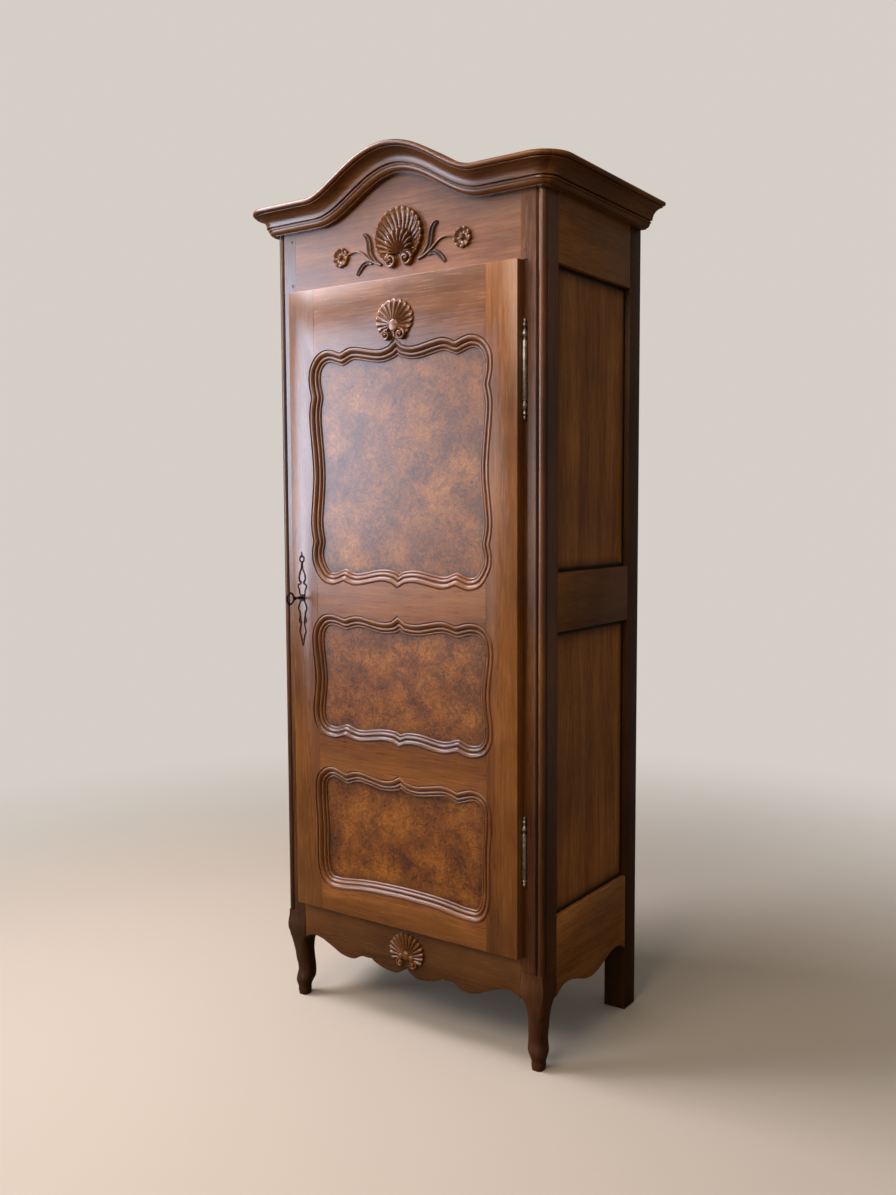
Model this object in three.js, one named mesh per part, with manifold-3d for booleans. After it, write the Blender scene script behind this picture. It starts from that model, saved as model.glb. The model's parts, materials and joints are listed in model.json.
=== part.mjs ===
// A bonnetiere: a tall linen cabinet with one long panelled door under an arched cornice.
// Millimetres. x runs to the viewer's right from the centre line, y runs back from the front of the posts,
// and z runs up from the floor. The last lines move y so that the origin lies under the cabinet's middle.

import * as THREE from 'three';
import { mergeVertices } from 'three/addons/utils/BufferGeometryUtils.js';
import Module from 'manifold-3d';

const wasm = await Module();
wasm.setup();

// Clearances and cuts
const fitGap = 0.3;
const overrun = 3;

// Carcase
const bodyWidth = 800;
const bodyDepth = 490;
const corniceUnderside = 2036;
const carcaseRise = 44;
const postWidth = 60;
const frontPostDepth = 64;
const rearPostDepth = 60;
const grooveRunout = 8;
const beadRadius = 8.8;
const beadGroove = 3;
const beadStartShare = 1 / 12;
const beadTurnShare = 7 / 12;
const beadSteps = 10;
const railThickness = 28;
const tenonThickness = 10;
const tenonSetback = 9;
const tenonLength = 42;
const sideTenonLength = 39;
const tenonShoulder = 14;

// Opening of the face frame, and the door that laps it
const openingBottom = 283;
const friezeWidth = 157;
const doorLap = 5;
const doorProud = 24;
const rabbetDepth = 5;
const doorClearance = 1;

// Front legs: height, inset of the outer face and of the inner face, as shares of leg height and post width
const legHeight = 240;
const legRingShares = [
  [1, 0, 1], [0.94, -0.05, 1], [0.85, -0.09, 1], [0.78, -0.06, 1], [0.74, -0.03, 0.96], [0.7, 0, 0.86],
  [0.66, 0.05, 0.8], [0.62, 0.08, 0.77], [0.53, 0.13, 0.79], [0.43, 0.18, 0.83], [0.35, 0.24, 0.87],
  [0.29, 0.25, 0.88], [0.24, 0.18, 0.88], [0.2, 0.12, 0.86], [0.16, 0.12, 0.79], [0.12, 0.17, 0.73],
  [0.083, 0.22, 0.7], [0.06, 0.2, 0.72], [0, 0.23, 0.7],
];
const legRoundShare = 0.24;
const legCornerSteps = 3;

// Scalloped rails under the door and the sides: drop below the arch tops and where it falls
const apronArch = 187;
const apronDrop = 39;
const sideApronArch = 189;
const sideApronDrop = 31;
const apronShares = [
  [0, 0.44], [0.035, 0.74], [0.085, 0.97], [0.145, 1], [0.22, 0.9], [0.29, 0.72], [0.335, 0.5], [0.36, 0.54],
  [0.42, 0.54], [0.455, 0.66], [0.5, 0.87], [0.565, 0.9], [0.64, 0.78], [0.74, 0.4], [0.83, 0.1], [0.9, 0],
  [0.955, 0.08], [1, 0.3],
];
const sideApronShares = [[0, 1], [0.2, 0.82], [0.42, 0.36], [0.6, 0.07], [0.74, 0], [0.87, 0.15], [1, 0.6]];

// Sides
const sideRailThickness = 26;
const sideTopRailWidth = 198;
const sideMiddleRailWidth = 138;
const sideMiddleRailBottom = 1042;
const sideBottomRailTop = 364;
const sidePanelRecess = 13;
const sidePanelThickness = 8;
const grooveDepth = 10;

// Back
const backRailThickness = 22;
const backTenonLength = 36;
const backTopRailWidth = 120;
const backBottomRailWidth = 103;
const backBoardThickness = 12;
const backBoardCount = 4;
const backBoardLap = 12;
const backBoardBottomMargin = 20;
const backBoardTopMargin = 14;
const tongueDepth = 6;
const tongueThickness = 4;

// Boards and shelves
const floorThickness = 18;
const floorTongue = 8;
const topBoardThickness = 18;
const shelfThickness = 18;
const shelfSetback = 40;
const shelfHeights = { lower: 690, middle: 1090, upper: 1500 };
const cleatHeight = 25;
const cleatThickness = 22;

// Cornice: its section from the bottom up, and the crest
const corniceBase = 14;
const corniceFascia = 2;
const corniceOvolo = 11;
const corniceFilletStep = 3;
const corniceFilletHeight = 4;
const corniceQuirkStep = 4;
const corniceQuirkHeight = 3;
const corniceCove = 27;
const corniceCrownStep = 3;
const corniceRoll = 6;
const crestRise = 94;
const crestReach = 250;
const crestSteps = 20;
const cornerSteps = 3;
const ovoloSteps = 2;
const coveSteps = 4;
const rollSteps = 4;

// Door
const doorThickness = 28.5;
const stileWidth = 85;
const panelMargin = 65;
const topRailWidth = 142;
const lockRailWidth = 66;
const middlePanelHeight = 332;
const lowerRailWidth = 68;
const lowerPanelHeight = 330;
const bottomRailWidth = 60;
const railHorn = 80;
const panelRecess = 12;
const panelThickness = 10;
const panelGroove = 8;
const doorTenonThickness = 9;
const doorTenonSetback = 9.5;
const doorTenonLength = 40;
const doorTenonShoulder = 4;

// Worked moulding round each door panel: shares of its width, then of the panel recess
const mouldingWidth = 31;
const mouldingShares = [[0, 0], [0.03, 0.22], [0.17, 0.04], [0.37, 0.3], [0.5, 0.42], [0.72, 0.46], [1, 0.82]];

// Right half of each moulding's outline, upwards, in stretches that meet at cusps: shares of the half width
// and of the height. The ends on the centre line are points, whose flanks are shares of the moulding's width.
const apexHalfShare = 0.68;
const upperOutline = {
  footShare: 0.39,
  crownShare: 0.59,
  stretchShares: [
    [[0.2, 0.024], [0.47, 0.004], [0.613, 0.02]],
    [[0.613, 0.02], [0.75, 0.003], [0.88, 0.023], [0.972, 0.085], [0.99, 0.14], [0.969, 0.184]],
    [[0.969, 0.184], [0.994, 0.27], [0.96, 0.47], [0.998, 0.7], [0.973, 0.787]],
    [[0.973, 0.787], [1, 0.85], [0.985, 0.912], [0.9, 0.963], [0.77, 0.981], [0.625, 0.963]],
    [[0.625, 0.963], [0.48, 0.981], [0.2, 0.96]],
  ],
};
const middleOutline = {
  footShare: 0.3,
  crownShare: 0.48,
  stretchShares: [
    [[0.2, 0.031], [0.46, 0.002], [0.62, 0.03]],
    [[0.62, 0.03], [0.75, 0.002], [0.885, 0.025], [0.97, 0.1], [0.998, 0.22], [0.967, 0.47], [1, 0.74],
      [0.98, 0.87], [0.885, 0.962], [0.76, 0.983], [0.615, 0.956]],
    [[0.615, 0.956], [0.46, 0.982], [0.2, 0.947]],
  ],
};
const lowerOutline = {
  footShare: 0,
  crownShare: 0.4,
  stretchShares: [
    [[0, 0.041], [0.38, 0.031], [0.73, 0.001], [0.87, 0.024], [0.95, 0.12], [0.97, 0.28], [0.968, 0.5],
      [0.985, 0.76], [0.965, 0.89], [0.87, 0.971], [0.76, 0.988], [0.62, 0.954]],
    [[0.62, 0.954], [0.47, 0.984], [0.2, 0.95]],
  ],
};
const outlineStepsPerPoint = 2;

// Vase hinges
const hingeAxisInset = 6;
const hingeAxisDepth = -2;
const barrelRadius = 5.5;
const pinRadius = 2.5;
const hingePocket = 12.5;
const leafThickness = 3;
const leafReach = 30;
const leafEndShare = 0.12;
const upperHingeDrop = 244;
const lowerHingeLift = 231;
const upperHinge = { lowerBarrel: 67, upperBarrel: 66, lowerVase: 45, upperVase: 49 };
const lowerHinge = { lowerBarrel: 42, upperBarrel: 64, lowerVase: 18, upperVase: 42 };
const pinLength = 32;
const hingeSides = 12;
const vaseShares = [
  [1, 0], [0.62, 0.05], [0.62, 0.12], [1.1, 0.27], [0.78, 0.45], [0.42, 0.55], [0.8, 0.7], [0.42, 0.83],
  [0.5, 0.92],
];

// Lock, key and escutcheon
const keyInset = 33;
const keyHeight = 1100;
const keyRadius = 3;
const keyHoleSlot = 11;
const keyHoleSlotWidth = 5;
const keyBitReach = 9.5;
const keyBitThickness = 3;
const keyShankReach = 31;
const keyBowLength = 30;
const keyBowHeight = 34;
const keyBowWire = 2.5;
const keyBowSides = 6;
const keyBowSteps = 18;
const keyCollarRadius = 5;
const keyCollarLength = 4;
const lockCaseWidth = 55;
const lockCaseHeight = 54;
const lockCaseDepth = 16;
const lockCaseWall = 3;
const lockCaseInset = 3;
const lockCaseDropShare = 0.41;
const boltHeight = 12;
const boltThickness = 8;
const boltLength = 46;
const boltThrow = 14;
const boltLift = 9;
const boltTalonWidth = 20;
const boltTalonDepth = 3;
const boltPocket = 16;
const strikePlateThickness = 1.5;
const strikePlateHeight = 46;
const strikePlateWidth = 14;
const escutcheonWidth = 31;
const escutcheonHeight = 246;
const escutcheonDrop = 126;
const escutcheonThickness = 1.5;
const escutcheonShares = [
  [0, 0], [0.4, 0.02], [0.55, 0.05], [0.2, 0.08], [0.5, 0.11], [0.85, 0.16], [0.6, 0.21], [0.35, 0.25],
  [0.7, 0.3], [1, 0.36], [0.9, 0.42], [0.62, 0.46], [0.7, 0.52], [0.95, 0.57], [0.9, 0.64], [0.5, 0.69],
  [0.35, 0.74], [0.75, 0.79], [0.8, 0.84], [0.4, 0.88], [0.25, 0.91], [0.5, 0.95], [0.3, 0.99], [0, 1],
];
const escutcheonHoleShares = [
  [0.48, 0.16, 0.2, 0.035], [0.55, 0.37, 0.2, 0.04], [0.5, 0.62, 0.2, 0.04], [0.42, 0.82, 0.18, 0.03],
];
const ovalSides = 8;

// Pegs through the frieze rail's tenons
const pegRadius = 4;
const pegDepth = 26;
const pegProud = 0.6;
const pegInset = 49;
const pegSides = 8;
const pegLifts = { lower: 27, upper: 139 };

// Carved shells, in relief: each lies so far above the edge of its rail
const friezeShell = { lift: 69, width: 68, rise: 110, relief: 11, ribs: 11, spread: 112 };
const friezeInnerShell = { lift: 67, width: 38, rise: 60, relief: 17, ribs: 7, spread: 100 };
const doorShell = { lift: 30, width: 60, rise: 66, relief: 10, ribs: 9, spread: 118 };
const apronShell = { lift: 18, width: 56, rise: 56, relief: 10, ribs: 9, spread: 100 };
const friezeVolute = { spread: 24, lift: 53, radius: 19, relief: 13 };
const doorVolute = { spread: 16, lift: 15, radius: 13, relief: 12 };
const apronVolute = { spread: 17, lift: 5, radius: 14, relief: 12 };
const shellFootShare = 0.16;
const shellFootReliefShare = 0.46;
const shellValleyShare = 0.93;
const shellReliefShares = [[0.35, 0.6, 0.5], [0.75, 1, 0.62], [1, 0.75, 0.42]];
const shellSeat = 4;
const voluteSides = 10;
const voluteTopShare = 0.6;

// Derived places
const halfWidth = bodyWidth / 2;
const carcaseTop = corniceUnderside + carcaseRise;
const grooveStop = legHeight - grooveRunout;
const openingHalf = halfWidth - postWidth;
const openingTop = corniceUnderside - friezeWidth;
const doorHalf = openingHalf + doorLap;
const doorBottom = openingBottom - doorLap;
const doorTop = openingTop + doorLap;
const doorBack = doorThickness - doorProud;
const lowerPanelBottom = doorBottom + bottomRailWidth;
const lowerPanelTop = lowerPanelBottom + lowerPanelHeight;
const middlePanelBottom = lowerPanelTop + lowerRailWidth;
const middlePanelTop = middlePanelBottom + middlePanelHeight;
const upperPanelBottom = middlePanelTop + lockRailWidth;
const upperPanelTop = doorTop - topRailWidth;
const stileEdge = doorHalf - stileWidth;
const panelHalf = doorHalf - panelMargin;
const hingeX = doorHalf + hingeAxisInset;
const keyX = keyInset - doorHalf;
const rearPostFront = bodyDepth - rearPostDepth;
const backBoardFace = bodyDepth - backBoardThickness;
const backRailFace = backBoardFace - fitGap - backRailThickness;
const backTopRailBottom = carcaseTop - backTopRailWidth;
const backBottomRailBottom = openingBottom - backBottomRailWidth;
const backBoardBottom = backBottomRailBottom + backBoardBottomMargin;
const backBoardTop = carcaseTop - backBoardTopMargin;
const sideTopRailBottom = carcaseTop - sideTopRailWidth;
const sideMiddleRailTop = sideMiddleRailBottom + sideMiddleRailWidth;
const sideInner = halfWidth - sideRailThickness;
const full = 2 * Math.PI;
const quarter = Math.PI / 2;
const mergeDistance = 1e-4;

// Finishes
const finish = (color, roughness, metalness) => ({ color, roughness, metalness });
const walnut = finish('#6b4226', 0.42, 0);
const sideWalnut = finish('#5a3620', 0.48, 0);
const burr = finish('#8a5a2e', 0.38, 0);
const innerWood = finish('#8c6b48', 0.7, 0);
const hingeSteel = finish('#6f665c', 0.4, 0.85);
const blackIron = finish('#2a2522', 0.5, 0.8);

// Shapes

function solidOf(geometry) {
  geometry.deleteAttribute('normal');
  geometry.deleteAttribute('uv');
  const merged = mergeVertices(geometry, mergeDistance);
  const vertProperties = merged.attributes.position.array;
  const triVerts = new Uint32Array(merged.index.array);
  return new wasm.Manifold(new wasm.Mesh({ numProp: 3, vertProperties, triVerts }));
}

function geometryOf(solid) {
  const mesh = solid.getMesh();
  const geometry = new THREE.BufferGeometry();
  geometry.setAttribute('position', new THREE.BufferAttribute(mesh.vertProperties, 3));
  geometry.setIndex(new THREE.BufferAttribute(mesh.triVerts, 1));
  geometry.computeVertexNormals();
  return geometry;
}

function block(x0, x1, y0, y1, z0, z1) {
  const geometry = new THREE.BoxGeometry(x1 - x0, y1 - y0, z1 - z0);
  geometry.translate((x0 + x1) / 2, (y0 + y1) / 2, (z0 + z1) / 2);
  return solidOf(geometry);
}

const xAxis = new THREE.Vector3(1, 0, 0);
const yAxis = new THREE.Vector3(0, 1, 0);
const zAxis = new THREE.Vector3(0, 0, 1);
const planes = {
  plan: new THREE.Matrix4().makeBasis(xAxis, yAxis, zAxis),
  front: new THREE.Matrix4().makeBasis(xAxis, zAxis, yAxis.clone().negate()),
  side: new THREE.Matrix4().makeBasis(yAxis, zAxis, xAxis),
};

// An outline drawn in plan, from the front (x, z) or from the side (y, z), made solid between two depths.
function prism(plane, points, from, to, holes = []) {
  const shape = new THREE.Shape(points.map(([u, v]) => new THREE.Vector2(u, v)));
  const pathOf = (hole) => new THREE.Path(hole.map(([u, v]) => new THREE.Vector2(u, v)));
  shape.holes.push(...holes.map(pathOf));
  const geometry = new THREE.ExtrudeGeometry(shape, { depth: to - from, bevelEnabled: false });
  geometry.translate(0, 0, plane === 'front' ? -to : from);
  geometry.applyMatrix4(planes[plane]);
  return solidOf(geometry);
}

// Triangles that fill a closed outline, turned the same way whichever way the outline runs.
function fillOf(outline) {
  const points = outline.map(([u, v]) => new THREE.Vector2(u, v));
  const triangles = THREE.ShapeUtils.triangulateShape(points, []);
  return THREE.ShapeUtils.area(points) < 0 ? triangles.map((triangle) => triangle.reverse()) : triangles;
}

// A solid through rings of equal count. Its flat ends are filled by their own outlines.
function loft(rings, startOutline, endOutline = startOutline) {
  const count = rings[0].length;
  const positions = rings.flat().flatMap((point) => [point.x, point.y, point.z]);
  const faces = [];
  for (let row = 0; row < rings.length - 1; row++) {
    for (let column = 0; column < count; column++) {
      const a = row * count + column;
      const b = row * count + ((column + 1) % count);
      faces.push([a, b, b + count], [a, b + count, a + count]);
    }
  }
  const last = (rings.length - 1) * count;
  for (const [a, b, c] of fillOf(startOutline)) faces.push([a, c, b]);
  for (const [a, b, c] of fillOf(endOutline)) faces.push([last + a, last + b, last + c]);
  const outwards = volumeOf(positions, faces) < 0 ? faces.map((face) => face.reverse()) : faces;
  const geometry = new THREE.BufferGeometry();
  geometry.setAttribute('position', new THREE.Float32BufferAttribute(positions, 3));
  geometry.setIndex(outwards.flat());
  return solidOf(geometry);
}

function volumeOf(positions, faces) {
  const corner = (index) => new THREE.Vector3().fromArray(positions, 3 * index);
  return faces.reduce((sum, [a, b, c]) => sum + corner(a).dot(corner(b).cross(corner(c))) / 6, 0);
}

// A turned piece on an upright axis, from points of radius and height.
function turned(points, x, y, sides) {
  const geometry = new THREE.LatheGeometry(points.map(([r, z]) => new THREE.Vector2(r, z)), sides);
  geometry.rotateX(quarter);
  geometry.translate(x, y, 0);
  return solidOf(geometry);
}

// A straight round rod along y.
function rod(radius, x, z, y0, y1, sides) {
  const geometry = new THREE.CylinderGeometry(radius, radius, y1 - y0, sides);
  geometry.translate(x, (y0 + y1) / 2, z);
  return solidOf(geometry);
}

const mirrored = (solid) => solid.mirror([1, 0, 0]);
const union = (solids) => solids.reduce((sum, next) => sum.add(next));

// A box made larger all round.
const swell = (gap, [x0, x1, y0, y1, z0, z1]) => {
  return block(x0 - gap, x1 + gap, y0 - gap, y1 + gap, z0 - gap, z1 + gap);
};

// Points of a smooth curve through hand-set points, without its last one. Two points make a straight stretch.
function curvePoints(points) {
  if (points.length === 2) return [points[0]];
  const curve = new THREE.SplineCurve(points.map(([u, v]) => new THREE.Vector2(u, v)));
  const fine = curve.getPoints(outlineStepsPerPoint * (points.length - 1));
  return fine.slice(0, -1).map((point) => [point.x, point.y]);
}

// The closed outline of a panel moulding: its right half in stretches, then the same half mirrored.
function panelOutline({ footShare, crownShare, stretchShares }, bottom, top) {
  const placed = ([u, v]) => [u * panelHalf, bottom + v * (top - bottom)];
  const stretches = stretchShares.map((stretch) => stretch.map(placed));
  const apexHalf = apexHalfShare * mouldingWidth;
  const crown = [apexHalf, top - crownShare * mouldingWidth];
  stretches.at(-1).push(crown);
  if (footShare > 0) {
    const foot = [apexHalf, bottom + footShare * mouldingWidth];
    stretches[0].unshift(foot);
    stretches.unshift([[0, bottom], foot]);
  }
  const right = [...stretches.flatMap(curvePoints), crown];
  const left = right.slice(1).reverse().map(([x, z]) => [-x, z]);
  return [...right, [0, top], ...left];
}

// The same outline moved inwards, with mitred corners.
function insetOutline(outline, distance) {
  const count = outline.length;
  return outline.map(([x, z], k) => {
    const [beforeX, beforeZ] = outline[(k + count - 1) % count];
    const [afterX, afterZ] = outline[(k + 1) % count];
    const arrive = new THREE.Vector2(x - beforeX, z - beforeZ).normalize();
    const leave = new THREE.Vector2(afterX - x, afterZ - z).normalize();
    const along = arrive.clone().add(leave).normalize();
    const reach = distance / along.dot(leave);
    return [x - along.y * reach, z + along.x * reach];
  });
}

// Cornice and crest

const corniceSection = (() => {
  const arc = (u, v, radius, from, to, steps) => Array.from({ length: steps + 1 }, (_, k) => {
    const angle = from + ((to - from) * k) / steps;
    return [u + radius * Math.cos(angle), v + radius * Math.sin(angle)];
  });
  const ovoloTop = [corniceBase + corniceOvolo, corniceFascia + corniceOvolo];
  const fillet = [ovoloTop[0] + corniceFilletStep, ovoloTop[1] + corniceFilletHeight];
  const quirk = [fillet[0] + corniceQuirkStep, fillet[1] + corniceQuirkHeight];
  const coveTop = [quirk[0] + corniceCove, quirk[1] + corniceCove];
  const crown = [coveTop[0] + corniceCrownStep, coveTop[1] + corniceCrownStep];
  const top = crown[1] + 2 * corniceRoll;
  return [
    [fitGap, 0],
    [corniceBase, 0],
    ...arc(corniceBase, ovoloTop[1], corniceOvolo, -quarter, 0, ovoloSteps),
    [fillet[0], ovoloTop[1]],
    fillet,
    [quirk[0], fillet[1]],
    ...arc(coveTop[0], quirk[1], corniceCove, 2 * quarter, quarter, coveSteps),
    [crown[0], coveTop[1]],
    ...arc(crown[0], crown[1] + corniceRoll, corniceRoll, -quarter, quarter, rollSteps),
    [fitGap, top],
  ];
})();
function crestHeight(x) {
  return Math.abs(x) < crestReach ? (crestRise * (1 + Math.cos((Math.PI * x) / crestReach))) / 2 : 0;
}

function crestTilt(x) {
  if (Math.abs(x) >= crestReach) return 0;
  return Math.atan((-crestRise * Math.PI * Math.sin((Math.PI * x) / crestReach)) / (2 * crestReach));
}

// One ring of the moulding: its section stood up at a place, facing outwards and tilted with the crest.
function corniceRing(x, y, z, facing, tilt = 0) {
  const out = new THREE.Vector3(Math.sin(facing), -Math.cos(facing), 0);
  const up = new THREE.Vector3(-Math.sin(tilt), 0, Math.cos(tilt));
  const foot = new THREE.Vector3(x, y, z);
  return corniceSection.map(([p, q]) => foot.clone().addScaledVector(out, p).addScaledVector(up, q));
}

// A ring on the rounded corner, whose centre is the post's bead; a slip parts the two pieces at the mitre.
function cornerRing(side, facing, slip = 0) {
  const x = side * (halfWidth - beadRadius) + beadRadius * Math.sin(facing) + slip * Math.cos(facing);
  const y = beadRadius - beadRadius * Math.cos(facing) + slip * Math.sin(facing);
  return corniceRing(x, y, corniceUnderside, facing);
}

function corniceFront() {
  const rings = [];
  const turn = (quarter / 2) / cornerSteps;
  const slipAt = (k) => (k === cornerSteps ? fitGap / 2 : 0);
  for (let k = cornerSteps; k > 0; k--) rings.push(cornerRing(-1, -k * turn, slipAt(k)));
  const straight = halfWidth - beadRadius;
  rings.push(corniceRing(-straight, 0, corniceUnderside, 0));
  for (let k = 0; k <= crestSteps; k++) {
    const x = crestReach * ((2 * k) / crestSteps - 1);
    rings.push(corniceRing(x, 0, corniceUnderside + crestHeight(x), 0, crestTilt(x)));
  }
  rings.push(corniceRing(straight, 0, corniceUnderside, 0));
  for (let k = 1; k <= cornerSteps; k++) rings.push(cornerRing(1, k * turn, -slipAt(k)));
  return loft(rings, corniceSection);
}

function corniceSide() {
  const rings = [];
  const turn = (quarter / 2) / cornerSteps;
  for (let k = cornerSteps; k < 2 * cornerSteps; k++) {
    rings.push(cornerRing(1, k * turn, k === cornerSteps ? fitGap / 2 : 0));
  }
  rings.push(corniceRing(halfWidth, beadRadius, corniceUnderside, quarter));
  rings.push(corniceRing(halfWidth, bodyDepth, corniceUnderside, quarter));
  return loft(rings, corniceSection);
}

// Front posts and legs, drawn for the right-hand post

function frontPostSection() {
  const edge = (u) => halfWidth - u;
  const points = [[edge(postWidth), 0], [edge(2 * beadRadius + beadGroove), 0]];
  for (let k = 0; k <= beadSteps; k++) {
    const angle = full * (beadStartShare + (beadTurnShare * k) / beadSteps);
    points.push([edge(beadRadius + beadRadius * Math.cos(angle)), beadRadius - beadRadius * Math.sin(angle)]);
  }
  points.push([halfWidth, 2 * beadRadius + beadGroove]);
  return [...points, [halfWidth, frontPostDepth], [edge(postWidth), frontPostDepth]];
}

function legRing(heightShare, outerShare, innerShare) {
  const low = outerShare * postWidth;
  const size = (innerShare - outerShare) * postWidth;
  const round = legRoundShare * size;
  const depthScale = frontPostDepth / postWidth;
  const ring = [];
  for (let corner = 0; corner < 4; corner++) {
    const centreU = low + (corner === 1 || corner === 2 ? round : size - round);
    const centreV = low + (corner < 2 ? size - round : round);
    for (let k = 0; k <= legCornerSteps; k++) {
      const angle = quarter * (corner + k / legCornerSteps);
      const u = centreU + round * Math.cos(angle);
      const v = centreV + round * Math.sin(angle);
      ring.push(new THREE.Vector3(halfWidth - u, v * depthScale, heightShare * legHeight));
    }
  }
  return ring;
}

function frontLeg() {
  const rings = legRingShares.map((shares) => legRing(...shares));
  const flat = (ring) => ring.map((point) => [point.x, point.y]);
  return loft(rings, flat(rings[0]), flat(rings.at(-1)));
}

// Tenons and mortises as boxes: a mortise is its tenon's box swollen by the gap.

function frontTenon(bottom, top) {
  const y1 = tenonSetback + tenonThickness;
  return [openingHalf - overrun, openingHalf + tenonLength, tenonSetback, y1, bottom, top];
}

function sideTenon(from, to, bottom, top) {
  const x1 = halfWidth - tenonSetback;
  return [x1 - tenonThickness, x1, from, to, bottom, top];
}

function backTenon(bottom, top) {
  const y0 = backRailFace + (backRailThickness - tenonThickness) / 2;
  return [openingHalf - overrun, openingHalf + backTenonLength, y0, y0 + tenonThickness, bottom, top];
}

const friezeTenon = frontTenon(openingTop + tenonShoulder, carcaseTop - tenonShoulder);
const apronTenon = frontTenon(apronArch + tenonShoulder, openingBottom - tenonShoulder);
const sideRailSpans = {
  top: [sideTopRailBottom, carcaseTop],
  middle: [sideMiddleRailBottom, sideMiddleRailTop],
  bottom: [sideApronArch, sideBottomRailTop],
};
const sideTenons = Object.fromEntries(Object.entries(sideRailSpans).map(([name, [bottom, top]]) => {
  const ends = [bottom + tenonShoulder, top - tenonShoulder];
  const front = sideTenon(frontPostDepth - sideTenonLength, frontPostDepth + overrun, ...ends);
  const rear = sideTenon(rearPostFront - overrun, rearPostFront + tenonLength, ...ends);
  return [name, { front, rear }];
}));
const backTopTenon = backTenon(backTopRailBottom + tenonShoulder, carcaseTop - tenonShoulder);
const backBottomTenon = backTenon(backBottomRailBottom + tenonShoulder, openingBottom - tenonShoulder);

// Panel grooves between the side rails, long enough to reach into both posts and both rails.
const sidePanelSpans = {
  upper: [sideMiddleRailTop - grooveDepth, sideTopRailBottom + grooveDepth],
  lower: [sideBottomRailTop - grooveDepth, sideMiddleRailBottom + grooveDepth],
};

function sidePanelBox([bottom, top]) {
  const x1 = halfWidth - sidePanelRecess;
  return [x1 - sidePanelThickness, x1, frontPostDepth - grooveDepth, rearPostFront + grooveDepth, bottom, top];
}

const sideGrooves = () => union(Object.values(sidePanelSpans).map((span) => swell(fitGap, sidePanelBox(span))));

// The rabbet round the opening that the door's edge lies in, and the deeper pocket beside the hinges.
function doorRabbet() {
  const reach = doorHalf + doorClearance;
  const bottom = doorBottom - doorClearance;
  const top = doorTop + doorClearance;
  const lap = block(-reach, reach, -overrun, rabbetDepth, bottom, top);
  const pocketEnd = openingHalf + doorLap + hingePocket;
  return lap.add(block(reach - overrun, pocketEnd, -overrun, rabbetDepth, bottom, top));
}

function pegHoles(gap) {
  const x = halfWidth - pegInset;
  const hole = (lift) => rod(pegRadius + gap, x, openingTop + lift, -pegProud, pegDepth, pegSides);
  return Object.values(pegLifts).map(hole);
}

function frontPost() {
  const upright = prism('plan', frontPostSection(), grooveStop, carcaseTop);
  const tenons = [friezeTenon, apronTenon, ...Object.values(sideTenons).map(({ front }) => front)];
  let post = upright.add(frontLeg());
  for (const tenon of tenons) post = post.subtract(swell(fitGap, tenon));
  post = post.subtract(sideGrooves());
  for (const hole of pegHoles(fitGap)) post = post.subtract(hole);
  return post;
}

function rearPost() {
  let post = block(openingHalf, halfWidth, rearPostFront, bodyDepth, 0, carcaseTop);
  const tenons = [backTopTenon, backBottomTenon, ...Object.values(sideTenons).map(({ rear }) => rear)];
  for (const tenon of tenons) post = post.subtract(swell(fitGap, tenon));
  const rebate = [openingHalf - overrun, openingHalf + backBoardLap, backBoardFace, bodyDepth + overrun];
  post = post.subtract(swell(fitGap, [...rebate, backBoardBottom, backBoardTop]));
  return post.subtract(sideGrooves());
}

// Face rails

function friezeRail() {
  const half = openingHalf - fitGap;
  const arch = Array.from({ length: crestSteps + 1 }, (_, k) => {
    const x = crestReach * (1 - (2 * k) / crestSteps);
    return [x, carcaseTop + crestHeight(x)];
  });
  const outline = [[-half, openingTop], [half, openingTop], [half, carcaseTop], ...arch, [-half, carcaseTop]];
  let rail = prism('front', outline, 0, railThickness);
  rail = rail.add(block(...friezeTenon)).add(mirrored(block(...friezeTenon)));
  rail = rail.subtract(doorRabbet());
  for (const hole of pegHoles(fitGap)) rail = rail.subtract(hole).subtract(mirrored(hole));
  const shells = [friezeShell, friezeInnerShell].map((shell) => reliefShell(shell, openingTop));
  return union([rail, ...shells, ...volutes(friezeVolute, openingTop)]);
}

function apronRail() {
  const half = openingHalf - fitGap;
  const right = curveOf(apronShares, half, (share) => apronArch - apronDrop * share);
  const left = right.slice(1).reverse().map(([x, z]) => [-x, z]);
  const outline = [...left, ...right, [half, openingBottom], [-half, openingBottom]];
  let rail = prism('front', outline, 0, railThickness);
  rail = rail.add(block(...apronTenon)).add(mirrored(block(...apronTenon)));
  rail = rail.subtract(doorRabbet());
  return union([rail, reliefShell(apronShell, apronArch), ...volutes(apronVolute, apronArch)]);
}

// Half a scalloped edge from its centre outwards.
function curveOf(shares, reach, heightOf) {
  return shares.map(([u, v]) => [u * reach, heightOf(v)]);
}

function sideRail(name) {
  const [bottom, top] = sideRailSpans[name];
  const y0 = frontPostDepth + fitGap;
  const y1 = rearPostFront - fitGap;
  const middle = (y0 + y1) / 2;
  let outline = [[y1, bottom], [y1, top], [y0, top], [y0, bottom]];
  if (name === 'bottom') {
    const rear = curveOf(sideApronShares, y1 - middle, (share) => sideApronArch - sideApronDrop * share);
    const front = rear.slice(1).reverse().map(([y, z]) => [-y, z]);
    outline = [...[...front, ...rear].map(([y, z]) => [y + middle, z]), [y1, top], [y0, top]];
  }
  let rail = prism('side', outline, halfWidth - sideRailThickness, halfWidth);
  rail = rail.add(block(...sideTenons[name].front)).add(block(...sideTenons[name].rear));
  rail = rail.subtract(sideGrooves());
  return name === 'bottom' ? rail.subtract(swell(fitGap, floorBox())) : rail;
}

function sidePanel(name) {
  return block(...sidePanelBox(sidePanelSpans[name]));
}

// Back, floor, top and shelves

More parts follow.
